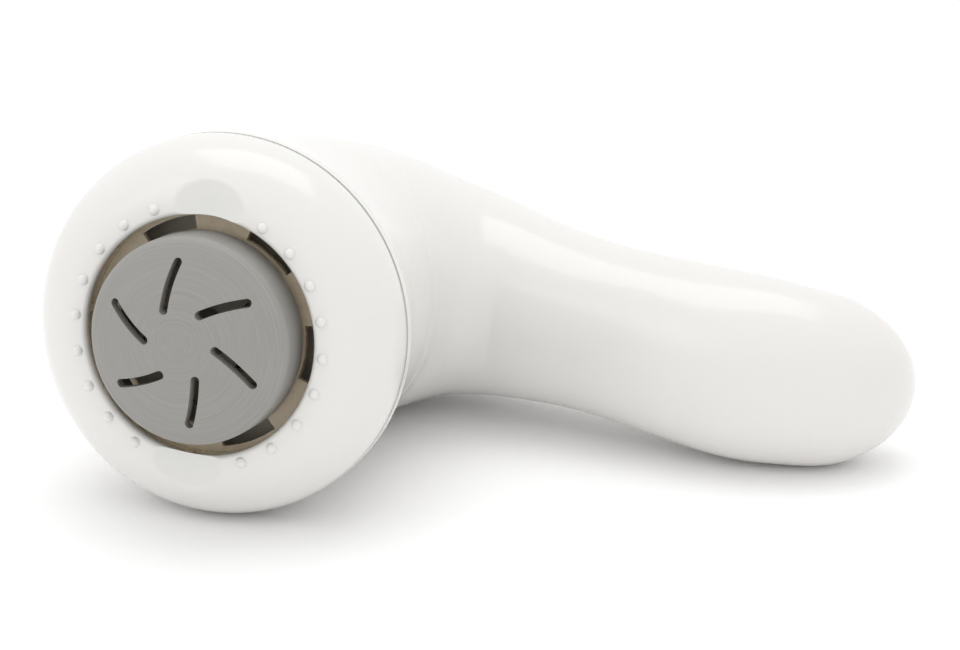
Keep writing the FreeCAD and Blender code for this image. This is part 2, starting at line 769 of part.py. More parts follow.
def motor():
    nose = 3.0
    skin = 0.8
    inner = d.motor_rad - skin
    shaft_hole = d.motor_shaft_rad + 0.1
    can = turned("motor_can_body", [
        (shaft_hole, mount_front + 0.4), (nose, mount_front + 0.4), (nose, mount_back), (d.motor_rad, mount_back),
        (d.motor_rad, motor_back), (inner, motor_back), (inner, mount_back + 1), (shaft_hole, mount_back + 1)])
    taps = [rod(f"motor_tap_{side}", d.screw_rad, 4, V(side * float(d.motor_hole_ring), float(mount_back) - 1, 0))
            for side in (-1, 1)]
    keep(cut("motor_can", can, taps))
    keep(turned("motor_end_cap", [
        (shaft_hole, motor_back - 1.6), (inner, motor_back - 1.6), (inner, motor_back),
        (d.motor_rad - 0.3, motor_back), (d.motor_rad - 0.3, motor_back + 0.8), (3.2, motor_back + 0.8),
        (3.2, motor_back + 2), (shaft_hole, motor_back + 2)]))
    ring = tube("magnet_ring", inner, inner - 1.8, mount_back + 3.5, motor_back - 3.5)
    gaps = [block("magnet_gap", (-20, mount_back, -4), (20, motor_back, 4))]
    keep(cut("motor_magnets", ring, gaps))
    core = tube("armature_core", inner - 2.2, d.motor_shaft_rad, mount_back + 4.5, motor_back - 4.5)
    windows = [block(f"armature_slot_{turn}", (4, mount_back, -0.8), (20, motor_back, 0.8),
                     PLACE(V(0, 0, 0), TURN(Y_AXIS, turn))) for turn in (0, 120, 240)]
    keep(cut("motor_armature", core, windows))
    keep(tube("commutator", d.motor_shaft_rad + 1.6, d.motor_shaft_rad, motor_back - 4.3, motor_back - 2))
    keep(rod("motor_shaft", d.motor_shaft_rad, motor_back - large_front + 1.4, V(0, float(large_front) + 0.2, 0)))
    blades = [block(f"terminal_{side}", (-1.2, motor_back + 0.8, side * 7 - 0.25),
                    (1.2, motor_back + 5, side * 7 + 0.25)) for side in (-1, 1)]
    keep(group("motor_terminals", blades))
    screws = [screw(f"motor_screw_{side}", V(side * float(d.motor_hole_ring), float(mount_front), 0), Y_AXIS,
                    d.mount_thick + 2, head=Dim(1.6)) for side in (-1, 1)]
    keep(group("motor_screws", screws))
    plate = tube("mount_plate", post_ring + d.post_rad - 0.4, nose + 0.05, mount_front, mount_back)
    holes = [rod(f"mount_hole_{a}", d.screw_rad, 6, polar(post_ring, a, mount_front - 2)) for a in POST_ANGLES]
    holes += [rod(f"mount_motor_hole_{side}", d.screw_rad, 6,
                  V(side * float(d.motor_hole_ring), float(mount_front) - 2, 0)) for side in (-1, 1)]
    holes.append(rod("mount_axle_hole", d.axle_rad, 6, polar(gear_distance, 90, mount_front - 2)))
    keep(cut("motor_mount", plate, holes))
    screws = [screw(f"mount_screw_{a}", polar(post_ring, a, mount_back), V(0, -1, 0), 6) for a in POST_ANGLES]
    keep(group("mount_screws", screws))


# ---------------------------------------------------------------- casing

bend_start = float(d.neck_run)
bend_end = bend_start + float(d.bend_rad) * math.radians(float(d.bend_angle))
grip_end = bend_end + float(d.grip_run)
tail_end = grip_end + float(d.tail_run)
tip_end = tail_end + float(d.cap_len)


def spine(along):
    """Frame on the centre line: x along it, y to its outer (back) side, z across the device."""
    start = V(0, float(mouth), 0)
    turn = 0.0
    point = start + Y_AXIS * min(along, bend_start)
    if along > bend_start:
        rad = float(d.bend_rad)
        turn = min(along - bend_start, bend_end - bend_start) / rad
        point = point + V(rad - rad * math.cos(turn), rad * math.sin(turn), 0)
    heading = V(math.sin(turn), math.cos(turn), 0)
    if along > bend_end:
        point = point + heading * min(along - bend_end, grip_end - bend_end)
    if along > grip_end:
        rad = float(d.tail_rad)
        back = turn - (along - grip_end) / rad
        point = point + V(math.cos(back) - math.cos(turn), math.sin(turn) - math.sin(back), 0) * rad
        turn = back
    return PLACE(point, TURN(Z_AXIS, 90 - math.degrees(turn)))


def width(along):
    """Half width of the casing: a smooth curve through the named widths."""
    stops = [0, bend_start / 2, bend_start, (bend_start + bend_end) / 2, bend_end, (bend_end + grip_end) / 2,
             grip_end, (grip_end + tail_end) / 2, tail_end]
    wide, slim = float(mouth_half), float(d.w_grip)
    shares = (1, float(d.neck_share), float(d.bend_in_share), float(d.bend_share), float(d.bend_out_share), 0)
    sizes = [slim + (wide - slim) * share for share in shares]
    sizes += [float(d.w_swell_in), float(d.w_swell), float(d.w_tail)]
    along = min(max(along, 0.0), tail_end)
    last = len(stops) - 1
    slopes = []
    for index in range(last + 1):
        before, after = max(index - 1, 0), min(index + 1, last)
        slopes.append((sizes[after] - sizes[before]) / (stops[after] - stops[before]))
    slopes[-1] = 0.0
    index = max(i for i in range(last) if stops[i] <= along)
    span = stops[index + 1] - stops[index]
    share = (along - stops[index]) / span
    rest = 1 - share
    return (sizes[index] * (1 + 2 * share) * rest * rest + sizes[index + 1] * (3 - 2 * share) * share * share
            + span * share * rest * (slopes[index] * rest - slopes[index + 1] * share))


def section(along, inset):
    """Half width and half depth of the casing, less an inset."""
    flatness = 1 - (1 - float(d.tail_flatness)) * min(along, tail_end) / tail_end
    across = width(along)
    return across - inset, across * flatness - inset


def crossing(origin, ray, offset):
    """Where a ray meets the centre line (offset 0) or the casing's back (offset 1)."""
    before = None
    steps = 400
    for index in range(steps + 1):
        along = bend_start * 0.5 + (grip_end - bend_start * 0.5) * index / steps
        frame = spine(along)
        point = frame.multVec(V(0, offset * section(along, 0.0)[1], 0)) - origin
        side = ray.x * point.y - ray.y * point.x
        if before and before[0] * side <= 0 and point.dot(ray) > 0:
            share = before[0] / (before[0] - side)
            length = (before[1] + (point - before[1]) * share).dot(ray)
            return length, before[2] + (along - before[2]) * share
        before = (side, point, along)
    raise RuntimeError("the crook's axis lies outside the bend")


def crook_stations():
    """Sections round the bend. They fan out from an axis in the crook, so none of them cross."""
    axis = V(float(d.crook_out), float(mouth + d.crook_run), 0)
    turn = math.radians(float(d.bend_angle))
    rays = [V(-math.cos(turn * share), math.sin(turn * share), 0) for share in (i / 8 for i in range(9))]
    spans = []
    for ray in rays:
        middle, along = crossing(axis, ray, 0)
        far = crossing(axis, ray, 1)[0]
        spans.append((middle, along, far))
    nears = [2 * spans[i][0] - spans[i][2] for i in (0, -1)]
    stations = []
    for index, (ray, (middle, along, far)) in enumerate(zip(rays, spans)):
        share = index / (len(rays) - 1)
        near = nears[0] + (nears[1] - nears[0]) * share * share * (3 - 2 * share)
        frame = PLACE(axis + ray * ((near + far) / 2), TURN(ray.cross(Z_AXIS), ray, Z_AXIS, "ZXY"))
        stations.append((frame, width(along), (far - near) / 2))
    return stations, spans[0][1], spans[-1][1]


def ellipse_wire(frame, across, deep):
    """A section in the frame's YZ plane. It is a stretched circle, so every seam starts alike."""
    stretch = FreeCAD.Matrix()
    stretch.scale(1, deep, across)
    circle = Part.Circle(V(0, 0, 0), X_AXIS, 1).toShape()
    return Part.Wire(circle.transformGeometry(frame.toMatrix() * stretch))


def casing_stations():
    """Sections of the casing from the mouth to the start of the tip: frame, half width, half depth."""
    crook, start, end = crook_stations()
    stations = [(spine(start * share), *section(start * share, 0.0)) for share in (0, 0.25, 0.5, 0.75)]
    stations += crook
    places = [end + (grip_end - end) * share for share in (0.25, 0.5, 0.75, 1)]
    places += [grip_end + (tail_end - grip_end) * share for share in (0.5, 1)]
    return stations + [(spine(along), *section(along, 0.0)) for along in places]


CAP_ANGLES = (20, 38, 54, 67, 77, 84, 88)


def skin(name, inset):
    """The casing's solid envelope, drawn in by an inset all round."""
    stations = casing_stations()
    frame, across, deep = stations[0]
    lead = 1.0 if inset else 0.0
    stations[0] = (PLACE(frame.Base - Y_AXIS * lead, frame.Rotation), across, deep)
    wires = [ellipse_wire(frame, across - inset, deep - inset) for frame, across, deep in stations]
    across, deep = section(tail_end, inset)
    for angle in CAP_ANGLES:
        turn = math.radians(angle)
        frame = spine(tail_end + (float(d.cap_len) - inset) * math.sin(turn))
        wires.append(ellipse_wire(frame, across * math.cos(turn), deep * math.cos(turn)))
    return ready_made(name, Part.makeLoft(wires, True, False))


def half_depth(run, side=0.0):
    """Height of the casing's back over the grip's centre line at a place on the grip."""
    across, deep = section(bend_end + run, 0.0)
    return deep * math.sqrt(1 - (side / across) ** 2)


def back_region(name, grow, drop, frame):
    """Everything behind the parting level over the back cover's length, with round corners."""
    low = (d.back_start - grow, d.parting_level - drop, -60)
    high = (d.back_end + grow, 60, 60)
    box = block(name + "_box", low, high, frame)
    doc.recompute()
    rounding = doc.addObject("Part::Fillet", name)
    rounding.Base = box
    lowest = [frame.multVec(V(float(x), float(low[1]), 0)) for x in (low[0], high[0])]
    edges = []
    for index, edge in enumerate(box.Shape.Edges, 1):
        upright = abs(edge.tangentAt(edge.FirstParameter).dot(Z_AXIS)) > 0.99
        middle = edge.CenterOfMass
        if upright and min((middle - V(p.x, p.y, middle.z)).Length for p in lowest) < 0.01:
            edges.append((index, float(d.back_corner), float(d.back_corner)))
    rounding.Edges = edges
    return rounding


def casing_inserts(frame, core):
    """Bosses inside the main casing, trimmed to stay within its wall, and the solid tip."""
    floor = float(d.parting_level) - 40
    mouth_posts = [rod(f"casing_boss_{a}", d.boss_rad, d.boss_len, polar(boss_ring, a, plate_back))
                   for a in BOSS_ANGLES]
    posts = [rod("back_boss", 3.2, float(screw_seat()) - floor, V(float(screw_run()), floor, 0), Y_AXIS, frame)]
    for run, side in chassis_holes():
        posts.append(rod(f"chassis_boss_{run}_{side}", 1.8, d.chassis_level - floor, V(run, floor, side),
                         Y_AXIS, frame))
    fill = block("tip_fill", (-3.5, -30, -20), (20, 30, 20), spine(tip_end - float(d.eyelet_back)))
    return [common(post.Name + "_trimmed", post, core) for post in mouth_posts + posts + [fill]]


def screw_run():
    """Place of the back cover's screw along the grip."""
    return d.back_end - d.back_screw_inset


def screw_seat():
    """Level where the back cover's sleeve sits on the casing's boss."""
    return d.parting_level + d.seat_over_parting


def chassis_holes():
    side = float(chassis_half) - 1.6
    return [(run, z) for run in CHASSIS_RUNS for z in (-side, side)]


def eyelet_tools():
    """The lanyard slot through the tip and the scooped recess at each of its ends."""
    tip = spine(tip_end - float(d.eyelet_back))
    gap = d.eyelet_gap / 2
    straight = (d.eyelet_len - d.eyelet_gap) / 2
    tools = [block("eyelet_slot", (-gap, -30, -straight), (gap, 30, straight), tip)]
    tools += [rod(f"eyelet_end_{side}", gap, 60, V(0, -30, side * float(straight)), Y_AXIS, tip) for side in (-1, 1)]
    share = (float(d.cap_len) - float(d.eyelet_back)) / float(d.cap_len)
    deep = section(tail_end, 0.0)[1] * math.sqrt(1 - share * share)
    reach = deep + float(d.recess_rad - d.recess_depth)
    half = (d.recess_len / 2) - d.recess_rad
    for end in (-1, 1):
        at = V(0, end * reach, 0)
        tools.append(rod(f"recess_{end}", d.recess_rad, half * 2, at - Z_AXIS * float(half), Z_AXIS, tip))
        for side in (-1, 1):
            tools.append(ball(f"recess_ball_{end}_{side}", d.recess_rad, at + Z_AXIS * side * float(half), tip))
    return tools


def casing():
    """Main casing, back cover and the seal between them."""
    frame = spine(bend_end)
    outer = skin("outer_skin", 0.0)
    inner = skin("inner_skin", float(d.casing_wall))
    core = skin("core_skin", float(d.casing_wall) / 2)
    collar = turned("collar", [
        (mouth_rad, mouth), (d.head_rad, mouth), (d.head_rad, mouth + d.collar_depth - d.collar_round),
        (d.head_rad - d.collar_round, mouth + d.collar_depth, d.collar_round), (mouth_rad, mouth + d.collar_depth)])
    shell = cut("casing_shell", fuse("casing_envelope", [outer, collar]), [inner])
    seal_gap = d.back_seal / 2
    opening = back_region("back_opening", seal_gap, seal_gap, frame)
    panel = back_region("back_panel", -seal_gap, -seal_gap, frame)
    opened = cut("casing_opened", shell, [opening])
    filled = fuse("casing_filled", [opened] + casing_inserts(frame, core))
    pilots = [rod(f"boss_pilot_{a}", d.screw_rad, d.boss_len - 1.5, polar(boss_ring, a, plate_back - 0.2))
              for a in BOSS_ANGLES]
    pilots.append(rod("back_pilot", d.screw_rad, 8, V(float(screw_run()), float(screw_seat()) - 7, 0),
                      Y_AXIS, frame))
    pilots += [rod(f"chassis_pilot_{run}_{side}", 0.8, 7, V(run, float(d.chassis_level) - 6, side), Y_AXIS, frame)
               for run, side in chassis_holes()]
    keep(cut("main_casing", cut("casing_drilled", filled, pilots), eyelet_tools()))
    back_cover(panel, outer, inner, frame)
    band = cut("seal_band", common("seal_slab", skin("seal_outer", float(d.back_seal_sink)), opening),
               [skin("seal_inner", float(d.back_seal_sink) + 1.2)])
    keep(cut("back_cover_seal", band, [panel]))


def back_cover(panel, outer, inner, frame):
    """The lid with its inner lip, front tongue, screw sleeve and button collar, its screw and plug."""
    run = float(screw_run())
    seat = float(screw_seat())
    lid = cut("lid_panel", common("lid_slab", outer, panel), [inner])
    tongue = block("lid_tongue", (d.back_start - 3, d.parting_level + 1, -7), (d.back_start + 3, 50, 7), frame)
    lip_region = fuse("lip_region", [back_region("lip_rim", Dim(-1), d.lip_depth, frame), tongue])
    lip = cut("lid_lip", common("lip_slab", inner, lip_region), [skin("lip_inner", float(d.casing_wall + d.lip_wall))])
    sleeve = rod("screw_sleeve", d.sleeve_rad, 40, V(run, seat, 0), Y_AXIS, frame)
    collar = rod("button_collar", d.button_rad + 1.6, 40, V(float(d.button_at), button_levels()[2], 0),
                 Y_AXIS, frame)
    trim = skin("sleeve_skin", float(d.casing_wall) / 4)
    posts = [common(post.Name + "_trimmed", post, trim) for post in (sleeve, collar)]
    blank = fuse("lid_blank", [lid, lip] + posts)
    sink = seat + float(d.sleeve_floor)
    tools = [rod("lid_hole", d.screw_rad + 0.1, 4, V(run, seat - 1, 0), Y_AXIS, frame),
             rod("lid_sink", d.plug_rad, 40, V(run, sink, 0), Y_AXIS, frame),
             rod("button_hole", d.button_rad + d.button_play, 40, V(float(d.button_at), seat - 3, 0), Y_AXIS, frame),
             rod("light_hole", d.light_rad, 40, V(float(d.light_at), seat, 0), Y_AXIS, frame)]
    for side in (-1, 1):
        at = V(float(d.contact_at), seat, side * float(d.contact_half))
        tools.append(rod(f"contact_hole_{side}", d.contact_rad, 40, at, Y_AXIS, frame))
    keep(cut("back_cover", blank, tools))
    keep(screw("back_cover_screw", V(run, sink, 0), V(0, -1, 0), 7, frame, head=Dim(2.4)))
    base = sink + float(d.head_of_screw) + 0.2
    height = half_depth(run, float(d.plug_rad)) - 0.2 - base
    keep(rod("screw_plug", d.plug_rad, height, V(run, base, 0), Y_AXIS, frame))


def button_levels():
    """Levels over the grip's centre line: casing back, button underside, and the collar's lower end."""
    surface = half_depth(float(d.button_at))
    underside = surface - float(d.casing_wall) - 2.0
    return surface, underside, underside - float(d.button_travel) - 0.1


# ---------------------------------------------------------------- inside the grip

def grip_parts():
    frame = spine(bend_end)
    cell_end = d.cell_start + d.cell_len
    start = float(d.cell_start)
    keep(rod("battery_cell", d.cell_rad, d.cell_len, V(start, float(cell_level), 0), X_AXIS, frame))
    tray = block("chassis_plate", (d.cell_start + 0.6, d.chassis_level, -chassis_half),
                 (cell_end - 0.6, chassis_top, chassis_half), frame)
    ribs = [block(f"chassis_rib_{i}", (run, cell_level - 3, -d.cell_rad - 1.4),
                  (run + 2, d.chassis_level, d.cell_rad + 1.4), frame)
            for i, run in enumerate((d.cell_start + 1.5, cell_end - 3.5))]
    standoffs = [rod(f"standoff_{x}_{z}", 1.6, board_level - chassis_top, V(x, float(chassis_top), z), Y_AXIS, frame)
                 for x, z in BOARD_HOLES]
    cradle = rod("cell_space", d.cell_rad + 0.1, d.cell_len + 4, V(start - 2, float(cell_level), 0), X_AXIS, frame)
    holes = [rod(f"chassis_hole_{run}_{z}", 0.8, 4, V(run, float(d.chassis_level) - 1, z), Y_AXIS, frame)
             for run, z in chassis_holes()]
    holes += [rod(f"standoff_hole_{x}_{z}", 0.6, 6, V(x, float(d.chassis_level) + 0.2, z), Y_AXIS, frame)
              for x, z in BOARD_HOLES]
    keep(cut("chassis", fuse("chassis_blank", [tray] + ribs + standoffs), [cradle] + holes))
    board_screws(frame)
    board_top = board_level + d.board_thick
    board = block("board_blank", (9, board_level, -d.board_half), (cell_end - 0.6, board_top, d.board_half), frame)
    holes = [rod(f"board_hole_{x}_{z}", 0.6, 4, V(x, float(board_level) - 1, z), Y_AXIS, frame)
             for x, z in BOARD_HOLES]
    keep(cut("circuit_board", board, holes))
    tabs = []
    strip = 0.3
    for index, (face, reach) in enumerate(((start - strip, 3.2), (float(cell_end), -2.2))):
        upright = block(f"tab_up_{index}", (face, cell_level - 3, -1.5), (face + strip, board_top + strip, 1.5), frame)
        ends = sorted((face, face + reach)) if reach > 0 else sorted((face + strip, face + reach))
        flat = block(f"tab_flat_{index}", (ends[0], board_top, -1.5), (ends[1], board_top + strip, 1.5), frame)
        tabs.append(fuse(f"tab_{index}", [upright, flat]))
    keep(group("battery_tabs", tabs))
    chips = [((34, 0), (3.5, 3.5), 1.0), ((43, 3), (1.6, 1.0), 0.9), ((43, -3), (1.6, 1.0), 0.9),
             ((27, 4.6), (1.2, 0.8), 0.7), ((27, -4.6), (1.2, 0.8), 0.7), ((22, 4), (0.8, 1.4), 0.8)]
    parts = []
    for index, ((run, z), (half_run, half_z), tall) in enumerate(chips):
        parts.append(block(f"chip_{index}", (run - half_run, board_top, z - half_z),
                           (run + half_run, board_top + tall, z + half_z), frame))
    keep(group("board_components", parts))
    controls(frame, board_top)
    leads(frame, board_top)


def board_screws(frame):
    fixings = []
    for run, z in chassis_holes():
        fixings.append(rod(f"chassis_pin_{run}_{z}", 0.8, 5, V(run, float(chassis_top) - 5, z), Y_AXIS, frame))
        fixings.append(rod(f"chassis_pan_{run}_{z}", 1.5, 1.0, V(run, float(chassis_top), z), Y_AXIS, frame))
    pairs = [fuse(f"chassis_screw_{i}", fixings[i:i + 2]) for i in range(0, len(fixings), 2)]
    keep(group("chassis_screws", pairs))
    board_top = float(board_level + d.board_thick)
    pairs = []
    for x, z in BOARD_HOLES:
        pin = rod(f"board_pin_{x}_{z}", 0.6, 3, V(x, board_top - 3, z), Y_AXIS, frame)
        pan = rod(f"board_pan_{x}_{z}", 1.2, 0.8, V(x, board_top, z), Y_AXIS, frame)
        pairs.append(fuse(f"board_screw_{x}_{z}", [pin, pan]))
    keep(group("board_screws", pairs))


def controls(frame, board_top):
    """Switch, power button, its seal and ring, status light, light pipe and charging contacts."""
    at = float(d.button_at)
    top = float(board_top)
    body = block("switch_body", (at - 3, top, -3), (at + 3, top + 3.0, 3), frame)
    plunger = rod("switch_plunger", 1.6, 3.4, V(at, top, 0), Y_AXIS, frame)
    keep(fuse("power_switch", [body, plunger]))
    surface, underside, collar_end = button_levels()
    press_end = top + 3.4 + float(d.button_travel) + 0.2
    cap = rod("button_cap", d.button_rad, surface + float(d.button_proud) - underside, V(at, underside, 0),
              Y_AXIS, frame)
    stem = rod("button_stem", 1.8, underside - press_end, V(at, press_end, 0), Y_AXIS, frame)
    dish = ball("button_dish", 22, V(at, surface + float(d.button_proud) + 21.5, 0), frame)
    keep(cut("power_button", fuse("button_blank", [cap, stem]), [dish]))
    seat = underside - float(d.button_travel) - 0.3
    cup = rod("seal_cup", d.button_rad + 1.6, collar_end - seat + 0.8, V(at, seat - 0.8, 0), Y_AXIS, frame)
    inside = rod("seal_space", d.button_rad + d.button_play, 9, V(at, seat, 0), Y_AXIS, frame)
    hole = rod("seal_hole", 1.95, 4, V(at, seat - 2, 0), Y_AXIS, frame)
    keep(cut("button_seal", cup, [inside, hole]))
    light = float(d.light_at)
    keep(rod("status_light", 1.0, 1.8, V(light, top, 0), Y_AXIS, frame))
    pipe_start = top + 2.0
    keep(rod("light_pipe", d.light_rad, half_depth(light) + 0.1 - pipe_start, V(light, pipe_start, 0), Y_AXIS, frame))
    pins = []
    for side in (-1, 1):
        z = side * float(d.contact_half)
        run = float(d.contact_at)
        height = half_depth(run, float(d.contact_half)) + 0.3 - top
        pins.append(rod(f"contact_{side}", d.contact_rad, height, V(run, top, z), Y_AXIS, frame))
    keep(group("charging_contacts", pins))


def bent_tube(name, points, radius):
    """A round lead along straight runs joined by tangent arcs."""
    edges = []
    last = points[0]
    for before, corner, after in zip(points, points[1:], points[2:]):
        inward = (before - corner).normalize()
        outward = (after - corner).normalize()
        half = inward.getAngle(outward) / 2
        setback = 0.45 * min((before - corner).Length, (after - corner).Length)
        bend = setback * math.tan(half)
        middle = corner + (inward + outward).normalize() * (bend / math.sin(half) - bend)
        start, end = corner + inward * setback, corner + outward * setback
        edges.append(Part.LineSegment(last, start).toShape())
        edges.append(Part.Arc(start, middle, end).toShape())
        last = end
    edges.append(Part.LineSegment(last, points[-1]).toShape())
    path = Part.Wire(edges)
    profile = Part.Wire(Part.Circle(points[0], points[1] - points[0], radius).toShape())
    return ready_made(name, path.makePipeShell([profile], True, True))


def leads(frame, board_top):
    """The two leads from the motor's terminals round the bend to the board."""
    radius = float(d.lead_rad)
    lie = float(board_top) + radius
    for name, side in (("motor_lead_red", -1), ("motor_lead_black", 1)):
        start = V(0, float(motor_back) + 5, side * 7)
        points = [start, start + V(0, 9, 0), frame.multVec(V(-2, lie + 1.5, side * 3.5)),
                  frame.multVec(V(9.5, lie, side * 2.6)), frame.multVec(V(12.6, lie, side * 2.6))]
        keep(bent_tube(name, points, radius))


# ---------------------------------------------------------------- rest on the table

def tip_over(points, down, pivot, axis):
    """Turns the floor about a line until it meets another point; gives the new down and the point."""
    ahead = axis.cross(down)
    best = None
    for point in points:
        arm = point - pivot
        reach = arm.dot(ahead)
        if reach < 1e-3:
            continue
        angle = math.atan2(-arm.dot(down), reach)
        if best is None or angle < best[0]:
            best = (angle, point)
    turn = TURN(axis, math.degrees(best[0]))
    return turn.multVec(down), best[1]


def resting_turn(points, centre):
    """The rotation that lays the device on its side, on the face of its hull under the centre."""
    down = V(0, 0, -1)
    first = max(points, key=lambda p: p.dot(down))
    lean = centre - first
    lean = (lean - down * lean.dot(down)).normalize()
    down, second = tip_over(points, down, first, down.cross(lean))
    for _ in range(20):
        axis = (second - first).normalize()
        if axis.cross(down).dot(centre - first) < 0:
            axis = axis * -1
        down, third = tip_over(points, down, first, axis)
        corners = [first, second, third]
        outside = None
        for index in range(3):
            a, b, c = corners[index], corners[(index + 1) % 3], corners[(index + 2) % 3]
            across = (b - a).cross(down)
            if across.dot(c - a) * across.dot(centre - a) < 0:
                outside = (a, b)
        if outside is None:
            break
        first, second = outside
    down.normalize()
    side = (X_AXIS - down * X_AXIS.dot(down)).normalize()
    up = down * -1
    return TURN(side, up.cross(side), up, "ZXY").inverted()


def lie_down():
    """Places every piece so that the device rests on z = 0, centred on the origin."""
    doc.recompute()
    check()
    touching = [doc.getObject(name).Shape for name in ("front_cover", "main_casing", "back_cover", "power_button",
                                                       "cleansing_disc")]
    points = [p for shape in touching for p in shape.tessellate(0.02)[0]]
    volume = sum(piece.Shape.Volume for piece in pieces)
    centre = V(0, 0, 0)
    for piece in pieces:
        for solid in piece.Shape.Solids:
            centre += solid.CenterOfMass * (solid.Volume / volume)
    turn = resting_turn(points, centre)
    turned_points = [turn.multVec(p) for p in points]
    low = V(*[min(getattr(p, c) for p in turned_points) for c in "xyz"])
    high = V(*[max(getattr(p, c) for p in turned_points) for c in "xyz"])
    middle = (low + high) / 2
    rest = PLACE(V(-middle.x, -middle.y, -low.z), turn)
    for piece in pieces:
        piece.Placement = rest.multiply(piece.Placement)
    doc.recompute()
    return rest


# ---------------------------------------------------------------- make, check and write

def check():
    for item in doc.Objects:
        for state in ("Invalid", "Error"):
            if state in item.State:
                raise RuntimeError(f"{item.Label} is {state}: {item.getStatusString()}")
    for piece in pieces:
        if piece.Shape.isNull() or not piece.Shape.isValid() or not piece.Shape.Solids:
            raise RuntimeError(f"{piece.Label} has no valid solid")


def main():
    front_cover()
    head_rings()
    spindle_tip = cleansing_disc()
    spindle_group(spindle_tip)
    bushes_and_seal()
    guard_ring()
    head_bulkhead()
    gears()
    motor()
    casing()
    grip_parts()
    rest = lie_down()
    check()
    os.makedirs("parts", exist_ok=True)
    for piece in pieces:
        piece.Shape.exportStep(f"parts/{piece.Label}.step")
    face = rest.Rotation.multVec(V(0, -1, 0))
    grip = rest.multiply(spine(bend_end))
    print("pieces", len(pieces))
    print("head axis", [round(c, 5) for c in face], "head centre", [round(c / 1000, 6) for c in rest.Base])
    print("grip frame base", [round(c / 1000, 6) for c in grip.Base],
          "along", [round(c, 5) for c in grip.Rotation.multVec(X_AXIS)],
          "back", [round(c, 5) for c in grip.Rotation.multVec(Y_AXIS)])
    tip = rest.multiply(spine(tip_end - float(d.eyelet_back)))
    print("eyelet", [round(c / 1000, 6) for c in tip.Base],
          "axis", [round(c, 5) for c in tip.Rotation.multVec(Y_AXIS)])
    axle = rest.multVec(polar(gear_distance, 90))
    print("axle", [round(c / 1000, 6) for c in axle])


main()
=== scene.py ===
# %% [markdown]
# # A rotary facial brush, lying on its side
# The engineering model already holds every working piece of this device. It is loaded first, as a
# fixed frame that Blender never moves. Everything in this lesson is placed from that frame: finishes
# are added to its pieces, and the pieces that need a finer surface are modelled again around it.

# %% Load the frame
import json
import math

import bmesh
import bpy
from mathutils import Matrix, Vector


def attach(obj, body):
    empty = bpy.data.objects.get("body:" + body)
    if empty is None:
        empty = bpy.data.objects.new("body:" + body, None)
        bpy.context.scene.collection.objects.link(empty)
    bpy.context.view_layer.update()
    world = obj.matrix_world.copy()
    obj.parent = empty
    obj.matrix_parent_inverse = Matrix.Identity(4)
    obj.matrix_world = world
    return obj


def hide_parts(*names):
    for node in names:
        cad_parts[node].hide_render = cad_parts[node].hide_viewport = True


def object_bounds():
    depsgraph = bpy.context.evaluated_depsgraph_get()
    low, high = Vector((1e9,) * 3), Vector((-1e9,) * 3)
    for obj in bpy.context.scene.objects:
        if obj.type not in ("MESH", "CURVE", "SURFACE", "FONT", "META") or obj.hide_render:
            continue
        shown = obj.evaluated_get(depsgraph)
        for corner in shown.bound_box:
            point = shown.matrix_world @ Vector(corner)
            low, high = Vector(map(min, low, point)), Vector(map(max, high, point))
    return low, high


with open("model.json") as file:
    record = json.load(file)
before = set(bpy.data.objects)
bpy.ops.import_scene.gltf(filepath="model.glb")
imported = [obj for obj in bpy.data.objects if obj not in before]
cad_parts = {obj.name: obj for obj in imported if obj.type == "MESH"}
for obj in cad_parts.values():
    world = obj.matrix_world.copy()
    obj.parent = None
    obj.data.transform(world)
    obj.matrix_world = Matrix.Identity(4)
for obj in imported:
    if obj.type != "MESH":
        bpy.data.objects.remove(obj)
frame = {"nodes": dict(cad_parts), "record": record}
record = frame["record"]
nodes = frame["nodes"]
cad_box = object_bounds()
MM = 0.001
print("nodes", len(nodes), "size in mm", [round(c / MM, 1) for c in cad_box[1] - cad_box[0]])

# %% [markdown]
# The device lies tilted on the table, so its own axes are needed before anything can be drawn on it.
# They could be typed in as angles, but then they would go stale when the design changes. The record
# already knows them: the spindle's joint gives the centre of the head and the way its face looks, and
# the idler gear sits straight to one side of the spindle.

# %% The device's own axes
joints = {joint["name"]: joint for joint in record["behaviour"]["joints"]}
head_centre = Vector(joints["spindle_spin"]["pos_m"])
face_way = Vector(joints["spindle_spin"]["axis"]).normalized()
back_way = -face_way
side_way = Vector(joints["idler_spin"]["pos_m"]) - head_centre
side_way = (side_way - back_way * side_way.dot(back_way)).normalized()
grip_way = back_way.cross(side_way)
device = Matrix.Translation(head_centre) @ Matrix((grip_way, back_way, side_way)).transposed().to_4x4()
print("face looks", tuple(round(c, 3) for c in face_way))
print("head centre", tuple(round(c, 4) for c in head_centre))

# %% [markdown]
# Materials here are built from nodes in the script. Small helpers keep that readable: one adds a
# node and fills its sockets, either with a value or with a link, and one starts a material with its
# Principled shader. Values that are the same all over the surface go straight on that shader. Others
# do the short sums, end a material with its bump, and open a node group.

# %% Helpers for node trees


def add(tree, kind, inputs=None, **settings):
    """Adds a node. Inputs are values or sockets, by name or by number."""
    node = tree.nodes.new(kind)
    for name, value in settings.items():
        setattr(node, name, value)
    for name, value in (inputs or {}).items():
        if isinstance(value, bpy.types.NodeSocket):
            tree.links.new(value, node.inputs[name])
        else:
            node.inputs[name].default_value = value
    return node


def maths(tree, operation, first, second=0.0):
    return add(tree, "ShaderNodeMath", {0: first, 1: second}, operation=operation).outputs[0]


def start_material(name, **shader):
    """A material with a Principled shader; returns the material, its tree and the shader."""
    material = bpy.data.materials.new(name)
    material.use_nodes = True
    tree = material.node_tree
    principled = tree.nodes["Principled BSDF"]
    for socket, value in shader.items():
        principled.inputs[socket.replace("_", " ")].default_value = value
    return material, tree, principled


